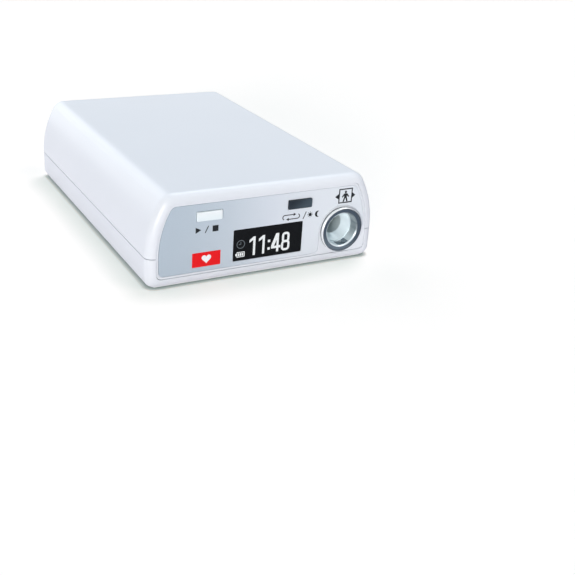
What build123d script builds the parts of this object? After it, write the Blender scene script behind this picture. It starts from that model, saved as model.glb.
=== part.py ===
from build123d import *
from math import atan2, cos, pi, sin, sqrt
import os

# A worn recorder that pumps up an arm cuff on a timer and stores the readings. It is a flat white two-part
# case with a grey front panel at one short end. The panel carries two push buttons, a small display and the
# round metal socket that the cuff hose plugs into. Two AA cells lie across the rear end, behind a cover that
# slides off. Inside are the boards, a diaphragm pump, an exhaust valve and the air lines between them.
#
# Frame: X to the right as seen from the front, Y to the back, Z up. The origin is the middle of the
# footprint, on the surface that the case lies on. All sizes are in millimetres.

# Case
case_width = 66.0
case_length = 94.2
case_height = 24.5
wall = 1.8
seam_height = 8.4
seam_gap = 0.2
side_arc_radius = 28.0
top_edge_radius = 3.8
bottom_edge_radius = 2.8
end_edge_radius = 2.4
least_radius = 0.4
lip_height = 1.2
lip_clearance = 0.1
rib = 1.2

# Clearances. Root is how far a boss or rib runs into the wall that it grows from, and over is how far a cut
# runs past the face that it opens.
fit_gap = 0.1
part_gap = 0.4
screw_gap = 0.02
running_gap = 0.08
root = 0.5
over = 1.0

# Front panel and the film on it
panel_inset = 2.5
panel_low_radius = 1.4
panel_high_radius = 1.8
panel_recess = 0.2
panel_flange = 1.0
overlay_thickness = 0.25
overlay_corner = 1.5
overlay_lip = 0.5
overlay_gap = 0.12

# Display
window_width = 20.0
window_height = 8.5
window_to_socket = 22.0
window_z = 8.75
window_corner = 0.3
window_rim = 1.1
window_skin = 1.6
window_sink = 0.05
glass_width = 24.4
glass_height = 12.0
glass_thickness = 1.5
glass_chamfer = 0.2
holder_bar = 1.6
flex_width = 8.0
flex_thickness = 0.15
flex_bulge = 1.6
flex_foot = 2.0

# Buttons and their switches
button_width = 6.9
button_height = 2.45
button_corner = 0.3
button_edge = 0.2
button_proud = 0.5
button_travel = 0.35
button_above_glass = 1.275
start_to_window = 16.95
auto_to_socket = 13.2
button_rim = 0.8
button_flange = 0.6
switch_width = 4.5
switch_height = 3.6
switch_depth = 2.3
plunger_radius = 1.0
plunger_length = 1.7

# Cuff hose socket
socket_from_side = 10.5
socket_z = 9.3
socket_proud = 0.8
bezel_radius = 6.25
bezel_lip = 0.15
bezel_bore = 5.9
land_past_bezel = 0.35
socket_radius = 5.7
socket_bore = 4.6
socket_mouth = 4.9
socket_bevel = 0.4
socket_depth = 2.85
socket_shoulder = 0.3
socket_taper = 2.35
throat_radius = 2.9
throat_length = 4.2
socket_floor = 1.4
socket_step = 0.1
keyway_width = 2.1
keyway_depth = 0.6
keyway_length = 2.5
keyway_start = 0.15
keyway_turn = 10.5
seal_bore = 1.9
seal_thickness = 0.8
nut_flats = 13.0
nut_thickness = 2.0
spigot_length = 3.2

# Air lines
nipple_radius = 1.6
nipple_bore = 0.7
nipple_length = 3.2
hose_wall = 1.0
hose_gap = 0.05
hose_seat = 0.4
hose_stretch = 2.0
small_nipple_radius = 1.2
small_nipple_length = 1.2
small_hose_seat = 0.2
small_hose_stretch = 0.6
manifold_width = 12.0
manifold_length = 12.0
manifold_past_socket = 4.0
manifold_below_pump = 3.9
manifold_corner = 1.0

# Pump, on an axis along X
pump_from_side = 6.0
band_thickness = 0.6
band_width = 4.0
band_from_end = 1.5
saddle_drop = 1.0
saddle_gap = 0.2
can_wall = 0.7
endcap_thickness = 1.5
endcap_spigot = 0.8
bush_radius = 2.0
bush_length = 1.6
bush_lap = 0.8
shaft_radius = 0.75
shaft_gap = 0.03
magnet_thickness = 1.1
magnet_angle = 130.0
magnet_gap = 0.4
armature_end = 2.6
armature_slot = 1.0
commutator_radius = 2.0
commutator_length = 1.6
housing_length = 7.3
housing_wall = 1.9
housing_end = 1.0
crank_radius = 3.0
crank_length = 3.6
crank_cap = 0.8
crank_gap = 0.3
crank_throw = 1.2
crank_pin_radius = 0.6
crank_pin_length = 1.8
wobble_side_gap = 0.3
wobble_thickness = 1.2
wobble_gap = 0.2
chambers = 3
diaphragm_thickness = 0.8
cup_radius = 1.7
cup_wall = 0.5
cup_inset = 1.6
cup_length = 0.8
valve_plate_thickness = 1.3
port_radius = 0.5
head_length = 3.6
head_rim = 2.6
head_end = 1.3
pump_screw_radius = 0.55
pump_screw_inset = 1.0
pump_screw_bite = 4.0
pump_screw_head = 1.0
pump_screw_head_height = 0.6

# Exhaust valve, on an axis along Y
valve_size = 8.0
valve_cap = 2.0
valve_length = 10.0
valve_tip = 0.6
valve_tip_radius = 1.2
yoke_thickness = 0.8
bobbin_wall = 0.5
bobbin_flange = 0.6
core_radius = 2.0
core_stroke = 0.8
core_rear_gap = 0.3
winding_gap = 0.2

# Boards and what is on them
board_thickness = 1.0
board_headroom = 3.1
main_board_side_gap = 6.0
front_board_side_gap = 6.5
front_board_to_socket = 8.5
front_board_above = 0.2
front_board_below = 1.4
panel_rib_to_glass = 1.3
roof_rib_half = 20.0
stake_radius = 0.6
stake_boss_radius = 1.2
stake_head = 0.5
stake_inset = 2.0
stake_low = 5.5
stake_middle = 12.0
stake_high = 17.0
stake_to_window = 3.5
header_width = 12.0
header_depth = 3.2
header_height = 2.4
header_to_socket = 14.5
backup_width = 16.0
backup_length = 14.0
backup_height = 3.0
backup_from_edge = 16.5
backup_from_tray = 8.4
backup_cell_radius = 6.2
backup_cell_thickness = 2.0
buzzer_radius = 4.5
buzzer_height = 3.0
buzzer_hole = 0.8
buzzer_wall = 0.6
buzzer_x = 6.0
buzzer_from_tray = 8.0
sensor_size = 6.0
sensor_height = 2.4
sensor_pitch = 6.5

# Packages on top of the main board: x, distance behind the pump's axis, width, length, height
chips = [
    (-10.0, -11.0, 10.0, 10.0, 1.4),
    (5.0, -12.0, 6.0, 5.0, 1.0),
    (5.0, 2.0, 5.0, 6.0, 1.2),
    (-12.0, 8.0, 4.0, 5.0, 1.0),
    (14.0, 16.0, 3.0, 3.0, 0.9),
]

# Data socket and its flap, in the right side
usb_behind_pump = 10.4
usb_width = 7.5
usb_height = 2.5
usb_depth = 5.6
usb_shell = 0.3
usb_reach = 0.4
usb_window_gap = 0.35
usb_tongue_width = 4.3
usb_tongue_thickness = 0.5
flap_length = 11.0
flap_margin = 1.15
flap_thickness = 1.0
flap_gap = 0.15
hinge_radius = 0.45
hinge_gap = 0.3
hinge_pin_radius = 0.2
hinge_pin_length = 0.8
hinge_pin_gap = 0.04

# Screws
post_from_side = 4.8
post_behind_socket = 0.2
rear_post_from_tray = 2.8
post_radius = 2.6
boss_radius = 2.2
screw_radius = 1.1
screw_bite = 4.6
screw_spare = 1.5
screw_head_radius = 1.9
screw_head_height = 1.2
screw_head_sink = 1.6
drive_width = 2.4
drive_slot = 0.5
drive_depth = 0.6
board_boss_radius = 2.0
board_screw_radius = 0.9
board_screw_bite = 2.2
board_screw_spare = 0.2
board_screw_head_radius = 1.7
board_screw_head_height = 1.0
board_screw_inset = 5.0
front_screw_inset = 4.8
rear_screw_inset = 3.4

# Cells, their tray and the cover
cell_radius = 7.1
cell_pitch = 15.0
cell_edge = 0.5
nub_radius = 2.7
nub_length = 1.0
touch_gap = 0.05
tray_wall = 1.2
tray_side_gap = 1.8
contact_thickness = 0.3
contact_size = 9.0
dimple_radius = 1.6
dimple_height = 0.25
spring_space = 5.6
spring_radius = 3.6
spring_wire = 0.35
spring_turns = 4
cover_ledge = 1.0
cover_gap = 0.15
tongue_low = 0.85
tongue_high = 1.65
tongue_width = 1.25
tongue_gap = 0.1
tongue_end = 0.6
grip_width = 16.0
grip_length = 9.0
grip_depth = 0.6
grip_from_back = 9.5
grip_ribs = 5
grip_rib_width = 0.7
grip_rib_sink = 0.15

# Plate on the underside, left bare
label_width = 38.0
label_length = 24.0
label_thickness = 0.2
label_recess = 0.35
label_corner = 1.5
label_behind_pump = 2.4

# Places that follow from the sizes above
half_width = case_width / 2
front = socket_proud - (case_length + socket_proud) / 2
back = front + case_length
inner_front = front + wall
inner_back = back - wall
roof = case_height - wall
lower_top = seam_height - seam_gap

panel_face = front + panel_recess
panel_base = panel_face + overlay_thickness
flange_front = inner_front + fit_gap
panel_back = flange_front + panel_flange
pad_inset = panel_inset + fit_gap
overlay_inset = pad_inset + overlay_lip
window_step = panel_face + window_skin

socket_x = half_width - socket_from_side
socket_nose = front - socket_proud
bevel_end = socket_nose + socket_bevel
bore_end = bevel_end + socket_depth
throat_start = bore_end + socket_taper
seal_front = throat_start + throat_length
seal_back = seal_front + seal_thickness
socket_rear = seal_back + socket_floor
spigot_end = socket_rear + spigot_length

window_x = socket_x - window_to_socket
start_x = window_x - start_to_window
auto_x = socket_x - auto_to_socket
button_z = window_z + glass_height / 2 + button_above_glass + button_rim + button_height / 2
glass_front = panel_back + fit_gap
glass_back = glass_front + glass_thickness
button_stop = panel_back + window_sink
button_rear = button_stop + button_flange
switch_front = button_rear + plunger_length / 2
front_board_y = switch_front + switch_depth
front_board_back = front_board_y + board_thickness

tray_half = half_width - wall - tray_side_gap - tray_wall
tray_back = inner_back - fit_gap
rear_cell_y = tray_back - tray_wall - part_gap - cell_radius
front_cell_y = rear_cell_y - cell_pitch
tray_front = front_cell_y - cell_radius - part_gap - tray_wall
tray_low = wall + fit_gap
cell_z = wall + part_gap + cell_radius
tray_roof = cell_z + cell_radius + part_gap
cover_front = tray_front + tray_wall
cover_half = tray_half - cover_ledge

# The cells fill what the contacts leave between the tray's ends, which is the length of an AA cell.
plate_reach = contact_thickness + dimple_height
cell_length = 2 * tray_half - spring_space - plate_reach - touch_gap - nub_length

main_board_z = roof - board_headroom - board_thickness
board_top = main_board_z + board_thickness
main_board_half = half_width - main_board_side_gap
main_board_front = front_board_back + stake_head + fit_gap
main_board_rear = tray_front - part_gap
front_board_left = front_board_side_gap - half_width
front_board_right = socket_x - front_board_to_socket
front_board_low = wall + front_board_below
front_board_high = button_z + switch_height / 2 + front_board_above

# The pump, the manifold and the valve lie in line in front of the tray. The pump fills the height under the
# main board, and its motor the width that the manifold leaves.
valve_back = tray_front - part_gap
valve_core_front = valve_back - valve_length
valve_front = valve_core_front - valve_cap
manifold_back = valve_front - 2 * (nipple_length + hose_seat)
manifold_front = manifold_back - manifold_length
manifold_right = socket_x + manifold_past_socket
manifold_left = manifold_right - manifold_width
valve_x = manifold_left + manifold_past_socket
valve_z = socket_z

pump_y = (manifold_front + manifold_back) / 2
pump_z = (wall + saddle_gap + main_board_z - part_gap) / 2
pump_radius = main_board_z - part_gap - pump_z - band_thickness
pump_screw_circle = pump_radius - pump_screw_inset
wobble_radius = pump_radius - housing_wall - wobble_side_gap
cup_circle = wobble_radius - cup_inset
can_left = pump_from_side - half_width
head_right = manifold_left - 2 * nipple_length - hose_stretch
valve_plate_right = head_right - head_length
diaphragm_right = valve_plate_right - valve_plate_thickness
housing_right = diaphragm_right - diaphragm_thickness
can_right = housing_right - housing_length
pump_nipple_end = head_right + nipple_length
crank_left = can_right + housing_end + crank_gap
crank_right = crank_left + crank_length
shaft_right = crank_right - crank_cap - crank_gap

sensor_low = main_board_z - sensor_height
sensor_places = [pump_y - sensor_pitch / 2, pump_y + sensor_pitch / 2]
manifold_low = pump_z - manifold_below_pump
manifold_high = sensor_low - 2 * small_nipple_length - small_hose_stretch

usb_y = pump_y + usb_behind_pump
usb_z = main_board_z - usb_height / 2
flap_low = usb_z - usb_height / 2 - flap_margin
flap_high = usb_z + usb_height / 2 + flap_margin

post_places = [
    (side * (half_width - post_from_side), y)
    for side in (-1, 1)
    for y in (socket_rear + post_behind_socket + post_radius, tray_front - rear_post_from_tray)
]
board_screw_places = [
    (side * (main_board_half - board_screw_inset), y)
    for side in (-1, 1)
    for y in (main_board_front + front_screw_inset, main_board_rear - rear_screw_inset)
]
stake_places = [
    (front_board_left + stake_inset, stake_low),
    (front_board_left + stake_inset, stake_middle),
    (window_x - stake_to_window, stake_high),
]
band_places = [can_left + band_from_end, can_right - band_from_end - band_width]
cell_rows = [(front_cell_y, 1), (rear_cell_y, -1)]


# Plain shapes, placed by the ranges that they fill


def block(x, y, z):
    """A box that fills three ranges."""
    middle = [(low + high) / 2 for low, high in (x, y, z)]
    return Pos(*middle) * Box(x[1] - x[0], y[1] - y[0], z[1] - z[0])


def wide_block(y, z):
    """A box that fills two ranges and is wider than the case."""
    return block((-case_width, case_width), y, z)


def rod(radius, x, y, z):
    """A round bar. The one of x, y and z that is a range gives its direction and its ends."""
    values = (x, y, z)
    axis = next(i for i, value in enumerate(values) if not isinstance(value, (int, float)))
    low, high = values[axis]
    place = [(low + high) / 2 if i == axis else value for i, value in enumerate(values)]
    turn = (Rot(0, 90, 0), Rot(90, 0, 0), Rot(0, 0, 0))[axis]
    return Pos(*place) * turn * Cylinder(radius, high - low)


def tube(radius, bore, x, y, z):
    """A round pipe, placed as a rod is."""
    return rod(radius, x, y, z) - rod(bore, x, y, z)


def prism(face, y_low, y_high):
    """A flat shape, drawn as x and z, drawn out along Y."""
    return Pos(0, y_low, 0) * extrude(Plane.XZ * face, amount=y_high - y_low, dir=(0, 1, 0))


def rounded(x, z, width, height, corner):
    """A rectangle with round corners, drawn as x and z."""
    return Pos(x, z) * RectangleRounded(width, height, corner)


def span(start, end):
    """Two values as a range, whichever is the lower."""
    return (min(start, end), max(start, end))


# The case's cross-section. Its sides stand upright to the seam, lean in along a wide arc and round over to
# the top.


def outline(inset, low_radius, high_radius):
    """The section as x and z, drawn in by inset on every side, with its own corner radii."""
    half = half_width - inset
    high = case_height - inset
    centre = half_width - side_arc_radius
    arc = side_arc_radius - inset
    rise = high - high_radius - seam_height
    across = sqrt((arc - high_radius) ** 2 - rise**2)
    lean = atan2(rise, across)

    def on_side(angle):
        return (centre + arc * cos(angle), seam_height + arc * sin(angle))

    def on_corner(angle):
        return (
            centre + across + high_radius * cos(angle),
            high - high_radius + high_radius * sin(angle),
        )

    def on_foot(angle):
        return (
            half - low_radius + low_radius * sin(angle),
            inset + low_radius - low_radius * cos(angle),
        )

    right = (
        Line((0, inset), on_foot(0))
        + ThreePointArc(on_foot(0), on_foot(pi / 4), on_foot(pi / 2))
        + Line(on_foot(pi / 2), on_side(0))
        + ThreePointArc(on_side(0), on_side(lean / 2), on_side(lean))
        + ThreePointArc(on_corner(lean), on_corner((lean + pi / 2) / 2), on_corner(pi / 2))
        + Line(on_corner(pi / 2), (0, high))
    )
    return make_face(right + mirror(right, about=Plane.YZ))


def section_at(inset):
    """The section drawn in by inset, with radii that keep the wall even."""
    low_radius = max(bottom_edge_radius - inset, least_radius)
    high_radius = max(top_edge_radius - inset, least_radius)
    return outline(inset, low_radius, high_radius)


def case_block():
    """The whole outside of the case as one solid, its end edges rounded."""
    body = prism(section_at(0), front, back)
    ends = body.faces().sort_by(Axis.Y)
    return fillet(ends[0].edges() + ends[-1].edges(), end_edge_radius)


outside = case_block()
shell = outside - prism(section_at(wall), inner_front, inner_back)
panel_opening = prism(
    outline(panel_inset, panel_low_radius, panel_high_radius), front - over, inner_front
)
below_seam = wide_block((-case_length, case_length), (-over, lower_top))
above_seam = wide_block((-case_length, case_length), (seam_height, case_height + over))


def lip_band(inset, z):
    """The ring between the wall's inside and a section drawn in by inset, over a range of heights."""
    ring = prism(section_at(inset), front + inset, back - inset)
    ring -= prism(section_at(wall), inner_front, inner_back)
    return ring & wide_block((-case_length, case_length), z)


def cover_zone(half, y_low, z_high):
    """The space at the rear that the cell cover fills, through the floor and the rear wall."""
    return block((-half, half), (y_low, back + over), (-over, z_high))


def flap_layer(thickness, spread):
    """The layer of the right side that the data flap takes up, from its hinge line up."""
    layer = prism(section_at(0), front, back) - prism(section_at(thickness), front, back)
    half = flap_length / 2 + spread
    return layer & block((0, case_width), (usb_y - half, usb_y + half), (flap_low, flap_high + spread))


def hinge_rod(radius, spread):
    """A rod on the flap's hinge axis, which lies so deep that the flap's rounded edge just meets the side."""
    arc = side_arc_radius - hinge_radius
    x = half_width - side_arc_radius + sqrt(arc**2 - (flap_low - seam_height) ** 2)
    half = flap_length / 2 + spread
    return rod(radius, x, (usb_y - half, usb_y + half), flap_low)


# Case parts

screw_head_top = screw_head_sink + screw_head_height
screw_end = lower_top + screw_bite
board_screw_end = board_top + board_screw_bite


def roof_bosses():
    """The bosses under the roof, for the case screws and the board screws."""
    bosses = []
    for x, y in post_places:
        boss = rod(boss_radius, x, y, (lower_top + fit_gap, roof + root))
        bosses.append(boss & prism(section_at(wall - root), front, back))
    for x, y in board_screw_places:
        bosses.append(rod(board_boss_radius, x, y, (board_top + fit_gap, roof + root)))
    return bosses


def roof_ribs():
    """The ribs that hold down the front board and the cell tray."""
    places = [(panel_back + fit_gap, front_board_high)]
    places += [(y, tray_roof + tray_wall) for y in (front_cell_y, rear_cell_y)]
    return [
        block((-roof_rib_half, roof_rib_half), (y, y + rib), (low + fit_gap, roof + root))
        for y, low in places
    ]


def upper_case():
    cover = shell & above_seam
    rebate = lip_band(wall / 2, (seam_height - over, seam_height + lip_height + lip_clearance))
    cover -= rebate - cover_zone(cover_half - lip_clearance, inner_back, case_height)
    for solid in roof_bosses() + roof_ribs():
        cover += solid
    for x, y in post_places:
        cover -= rod(screw_radius + screw_gap, x, y, (lower_top, screw_end + screw_spare))
    for x, y in board_screw_places:
        hole = (board_top, board_screw_end + board_screw_spare)
        cover -= rod(board_screw_radius + screw_gap, x, y, hole)
    cover -= panel_opening
    cover -= flap_layer(flap_thickness + flap_gap, flap_gap)
    cover -= hinge_rod(hinge_radius + hinge_gap, flap_gap)
    cover -= hinge_rod(hinge_pin_radius + hinge_pin_gap, hinge_pin_length + flap_gap)
    half_length = usb_width / 2 + usb_window_gap
    half_height = usb_height / 2 + usb_window_gap
    window = (usb_y - half_length, usb_y + half_length), (usb_z - half_height, usb_z + half_height)
    return cover - block((socket_x, case_width), *window)


def pump_saddle(x):
    """A rib on the floor with a half-round seat for a band round the pump."""
    reach = pump_radius + band_thickness + fit_gap
    seat = reach + rib
    plate = block((x, x + rib), (pump_y - seat, pump_y + seat), (wall - root, pump_z - saddle_drop))
    return plate - rod(reach, (x, x + rib), pump_y, pump_z)


def floor_ribs():
    """The ribs that the pump, the air manifold, the valve and the front board stand on."""
    ribs = [pump_saddle(x + (band_width - rib) / 2) for x in band_places]
    manifold_x = (manifold_left + rib, manifold_right - rib)
    for y in (manifold_front + 2 * rib, manifold_back - 3 * rib):
        ribs.append(block(manifold_x, (y, y + rib), (wall - root, manifold_low - fit_gap)))
    valve_half = valve_size / 2 - yoke_thickness
    valve_low = valve_z - valve_size / 2 - fit_gap
    for y in (valve_core_front + rib, valve_back - 2 * rib):
        x = (valve_x - valve_half, valve_x + valve_half)
        ribs.append(block(x, (y, y + rib), (wall - root, valve_low)))
    y = panel_back + fit_gap
    low = (wall - root, front_board_low - fit_gap)
    right = window_x - glass_width / 2 - panel_rib_to_glass
    ribs.append(block((front_board_left, right), (y, y + rib), low))
    return ribs


def label_plate(clearance, low, high):
    """The plate on the underside, or the recess for it."""
    face = RectangleRounded(
        label_width - 2 * clearance, label_length - 2 * clearance, label_corner - clearance
    )
    return Pos(0, pump_y + label_behind_pump, low) * extrude(face, high - low)


def lower_case():
    tub = shell & below_seam
    lip = lip_band(wall / 2 + lip_clearance, (lower_top - over, seam_height + lip_height))
    tub += lip
    tub -= cover_zone(cover_half, cover_front - cover_gap, case_height)
    groove_end = cover_half + tongue_width + tongue_gap
    for side in (-1, 1):
        x = span(side * (cover_half - over), side * groove_end)
        tub -= block(x, (cover_front - cover_gap, back + over), (tongue_low - tongue_gap, wall + root))
    for x, y in post_places:
        tub += rod(post_radius, x, y, (wall - root, lower_top))
    for x, y in post_places:
        tub -= rod(screw_radius + screw_gap, x, y, (-over, lower_top + over))
        tub -= rod(screw_head_radius + screw_gap, x, y, (-over, screw_head_top))
    for solid in floor_ribs():
        tub += solid
    tub -= panel_opening
    return tub - label_plate(0, 0, label_recess)


def rating_label():
    return label_plate(fit_gap, label_recess - label_thickness, label_recess)


def case_screws():
    screws = []
    cross = Rectangle(drive_width, drive_slot) + Rectangle(drive_slot, drive_width)
    for x, y in post_places:
        screw = rod(screw_head_radius, x, y, (screw_head_sink, screw_head_top))
        screw += rod(screw_radius, x, y, (screw_head_top, screw_end))
        screws.append(screw - Pos(x, y, screw_head_sink) * extrude(cross, drive_depth))
    return Compound(children=screws)


# Front panel


def overlay_field():
    """The part of the panel's face that the grey film covers: all but the land round the hose socket."""
    land_radius = bezel_radius + land_past_bezel
    land = Pos(socket_x, socket_z) * Circle(land_radius)
    land_left = socket_x - land_radius
    land += Pos((land_left + half_width) / 2, socket_z / 2) * Rectangle(half_width - land_left, socket_z)
    field = outline(overlay_inset, panel_low_radius, panel_high_radius) - land
    corner = field.vertices().sort_by_distance((land_left, overlay_inset, 0))[0]
    return fillet(corner, overlay_corner)


def window_shape(spread):
    width = window_width + 2 * spread
    return rounded(window_x, window_z, width, window_height + 2 * spread, window_corner)


def button_shape(x, spread):
    width = button_width + 2 * spread
    return rounded(x, button_z, width, button_height + 2 * spread, button_corner)


def front_panel():
    pad = outline(pad_inset, panel_low_radius, panel_high_radius)
    panel = prism(pad, panel_base, flange_front)
    flange = outline(wall + fit_gap, panel_low_radius, panel_high_radius)
    panel += prism(flange, flange_front, panel_back)
    panel += prism(pad - overlay_field(), panel_face, panel_base)
    panel -= prism(window_shape(fit_gap), front, panel_back)
    panel -= prism(window_shape(window_rim + fit_gap), window_step, panel_back)
    for x in (start_x, auto_x):
        panel -= prism(button_shape(x, fit_gap), front, panel_back)
    panel -= rod(socket_radius + fit_gap, socket_x, (front, panel_back), socket_z)
    for x, z in stake_places:
        panel += rod(stake_boss_radius, x, (panel_back, front_board_y), z)
        panel += rod(stake_radius, x, (front_board_y, front_board_back), z)
        panel += rod(stake_boss_radius, x, (front_board_back, front_board_back + stake_head), z)
    return panel


def panel_overlay():
    film = offset(overlay_field(), amount=-overlay_gap)
    film -= window_shape(fit_gap)
    for x in (start_x, auto_x):
        film -= button_shape(x, fit_gap)
    return prism(film, panel_face, panel_base)


def display_window():
    lens = prism(window_shape(0), panel_face + window_sink, window_step + fit_gap)
    return lens + prism(window_shape(window_rim), window_step + fit_gap, panel_back)


def centred_block(width, y, height):
    """A box on the display's centre line."""
    x = (window_x - width / 2, window_x + width / 2)
    return block(x, y, (window_z - height / 2, window_z + height / 2))


def oled_module():
    glass = centred_block(glass_width, (glass_front, glass_back), glass_height)
    return chamfer(glass.edges().filter_by(Axis.Y), glass_chamfer)


def oled_holder():
    y = (glass_back, front_board_y)
    frame = centred_block(glass_width, y, glass_height)
    return frame - centred_block(glass_width - 2 * holder_bar, y, glass_height - 2 * holder_bar)


def display_flex():
    """The flat cable that folds round the holder's left side and is soldered to the front board."""
    left = window_x - glass_width / 2
    edge = left - flex_bulge
    y = (glass_back - glass_thickness / 2, front_board_y)
    z = (window_z - flex_width / 2, window_z + flex_width / 2)
    strip = block((edge, left), (y[0], y[0] + flex_thickness), z)
    strip += block((edge, edge + flex_thickness), y, z)
    return strip + block((edge - flex_foot, edge), (y[1] - flex_thickness, y[1]), z)


def push_button(x):
    cap = prism(button_shape(x, 0), panel_face - button_proud, button_stop)
    cap = fillet(cap.faces().sort_by(Axis.Y)[0].edges(), button_edge)
    return cap + prism(button_shape(x, button_rim), button_stop, button_rear)


def start_button():
    return push_button(start_x)


def auto_button():
    return push_button(auto_x)


def switch_plunger(x):
    return rod(plunger_radius, x, (button_rear, button_rear + plunger_length), button_z)


def start_plunger():
    return switch_plunger(start_x)


def auto_plunger():
    return switch_plunger(auto_x)


def tact_switches():
    bodies = []
    well_end = button_rear + plunger_length + button_travel + fit_gap
    for x in (start_x, auto_x):
        body = block(
            (x - switch_width / 2, x + switch_width / 2),
            (switch_front, front_board_y),
            (button_z - switch_height / 2, button_z + switch_height / 2),
        )
        bodies.append(body - rod(plunger_radius + running_gap, x, (switch_front, well_end), button_z))
    return Compound(children=bodies)


def front_board():
    board = block(
        (front_board_left, front_board_right),
        (front_board_y, front_board_back),
        (front_board_low, front_board_high),
    )
    for x, z in stake_places:
        board -= rod(stake_radius + screw_gap, x, (front_board_y, front_board_back), z)
    return board


# Hose socket


def turned(points):
    """A ring turned about the socket's axis. Each point is a radius and a y."""
    face = make_face(Polyline(*points, close=True))
    return Pos(socket_x, 0, socket_z) * revolve(face, Axis.Y)


def socket_bezel():
    return turned(
        [
            (bezel_bore, panel_face),
            (bezel_radius, panel_face),
            (bezel_radius, socket_nose + bezel_lip),
            (bezel_radius - bezel_lip, socket_nose),
            (bezel_bore, socket_nose),
        ]
    )


def air_socket():
    collar = bezel_bore - running_gap
    body = turned(
        [
            (socket_mouth, socket_nose + socket_step),
            (collar, socket_nose + socket_step),
            (collar, panel_face),
            (socket_radius, panel_face),
            (socket_radius, socket_rear),
            (nipple_radius, socket_rear),
            (nipple_radius, spigot_end),
            (nipple_bore, spigot_end),
            (nipple_bore, seal_back),
            (throat_radius, seal_back),
            (throat_radius, throat_start),
            (socket_bore - socket_shoulder, bore_end),
            (socket_bore, bore_end),
            (socket_bore, bevel_end),
        ]
    )
    start = bevel_end + keyway_start
    x = (socket_x - keyway_width / 2, socket_x + keyway_width / 2)
    z = (socket_z - socket_bore - keyway_depth, socket_z)
    keyway = Pos(-socket_x, 0, -socket_z) * block(x, (start, start + keyway_length), z)
    return body - Pos(socket_x, 0, socket_z) * Rot(0, -keyway_turn, 0) * keyway


def socket_seal():
    return tube(throat_radius - fit_gap, seal_bore, socket_x, (seal_front, seal_back), socket_z)


def socket_nut():
    y = (panel_back, panel_back + nut_thickness)
    hexagon = Pos(socket_x, socket_z) * RegularPolygon(nut_flats / 2, 6, major_radius=False)
    return prism(hexagon, *y) - rod(socket_radius + screw_gap, socket_x, y, socket_z)


# Air lines


def hose(radius, x, y, z):
    """A straight length of soft hose that slips over nipples of a radius."""
    bore = radius + hose_gap
    return tube(bore + hose_wall, bore, x, y, z)


def socket_hose():
    return hose(nipple_radius, socket_x, (socket_rear + hose_seat, manifold_front - hose_seat), socket_z)


def pump_hose():
    return hose(nipple_radius, (head_right + hose_seat, manifold_left - hose_seat), pump_y, pump_z)


def valve_hose():
    return hose(nipple_radius, valve_x, (manifold_back + hose_seat, valve_front - hose_seat), valve_z)


def sensor_hoses():
    z = (manifold_high + small_hose_seat, sensor_low - small_hose_seat)
    return Compound(children=[hose(small_nipple_radius, socket_x, y, z) for y in sensor_places])


def air_manifold():
    y = (manifold_front, manifold_back)
    body = block((manifold_left, manifold_right), y, (manifold_low, manifold_high))
    body = fillet(body.edges().filter_by(Axis.Z), manifold_corner)
    ends = [
        (nipple_radius, (manifold_left - nipple_length, socket_x), pump_y, pump_z),
        (nipple_radius, socket_x, (manifold_front - nipple_length, sensor_places[1]), socket_z),
        (nipple_radius, valve_x, (pump_y, manifold_back + nipple_length), valve_z),
    ]
    for place in sensor_places:
        z = (socket_z, manifold_high + small_nipple_length)
        ends.append((small_nipple_radius, socket_x, place, z))
    for radius, *place in ends:
        body += rod(radius, *place)
    for radius, *place in ends:
        body -= rod(nipple_bore, *place)
    return body


def pressure_sensors():
    sensors = []
    half = sensor_size / 2
    for y in sensor_places:
        body = block((socket_x - half, socket_x + half), (y - half, y + half), (sensor_low, main_board_z))
        tip = sensor_low - small_nipple_length
        body += rod(small_nipple_radius, socket_x, y, (tip, sensor_low))
        sensors.append(body - rod(nipple_bore, socket_x, y, (tip, sensor_low + root)))
    return Compound(children=sensors)


# Pump


def along_pump(radius, x):
    return rod(radius, x, pump_y, pump_z)


def around_pump(circle, start):
    """One place for each chamber on a circle about the pump's axis, as y and z."""
    turns = [start + 2 * pi * i / chambers for i in range(chambers)]
    return [(pump_y + circle * cos(turn), pump_z + circle * sin(turn)) for turn in turns]


cup_places = around_pump(cup_circle, pi / 2)
pump_screw_places = around_pump(pump_screw_circle, -pi / 2)


def without_screw_holes(body, x):
    for y, z in pump_screw_places:
        body -= rod(pump_screw_radius + screw_gap, x, y, z)
    return body


def motor_can():
    can = along_pump(pump_radius, (can_left, can_right))
    can -= along_pump(pump_radius - can_wall, (can_left, can_right - can_wall))
    return can - along_pump(bush_radius, (can_right - can_wall, can_right))


def motor_endcap():
    left = can_left - endcap_thickness
    cap = along_pump(pump_radius, (left, can_left))
    cap += along_pump(pump_radius - can_wall - fit_gap, (can_left, can_left + endcap_spigot))
    return cap - along_pump(bush_radius, (left, can_left + endcap_spigot))


def motor_bushes():
    bushes = []
    for left in (can_left - bush_lap, can_right - bush_lap):
        x = (left, left + bush_length)
        bushes.append(tube(bush_radius, shaft_radius + shaft_gap, x, pump_y, pump_z))
    return Compound(children=bushes)


def motor_magnets():
    outer = pump_radius - can_wall
    x = (can_left + armature_end, can_right - armature_end)
    ring = tube(outer, outer - magnet_thickness, x, pump_y, pump_z)
    gap = outer * cos(magnet_angle / 2 * pi / 180)
    return ring - block(x, (pump_y - gap, pump_y + gap), (pump_z - pump_radius, pump_z + pump_radius))


def motor_shaft():
    return along_pump(shaft_radius, (can_left - bush_lap, shaft_right))


def motor_armature():
    radius = pump_radius - can_wall - magnet_thickness - magnet_gap
    core_left = can_left + armature_end + commutator_length
    core = (core_left, can_right - armature_end)
    body = along_pump(radius, core)
    for y, z in around_pump(radius, pi / 2):
        body -= rod(armature_slot, core, y, z)
    body += along_pump(commutator_radius, (core_left - commutator_length, core_left))
    return body - along_pump(shaft_radius + screw_gap, (core_left - commutator_length, core[1]))


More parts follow.
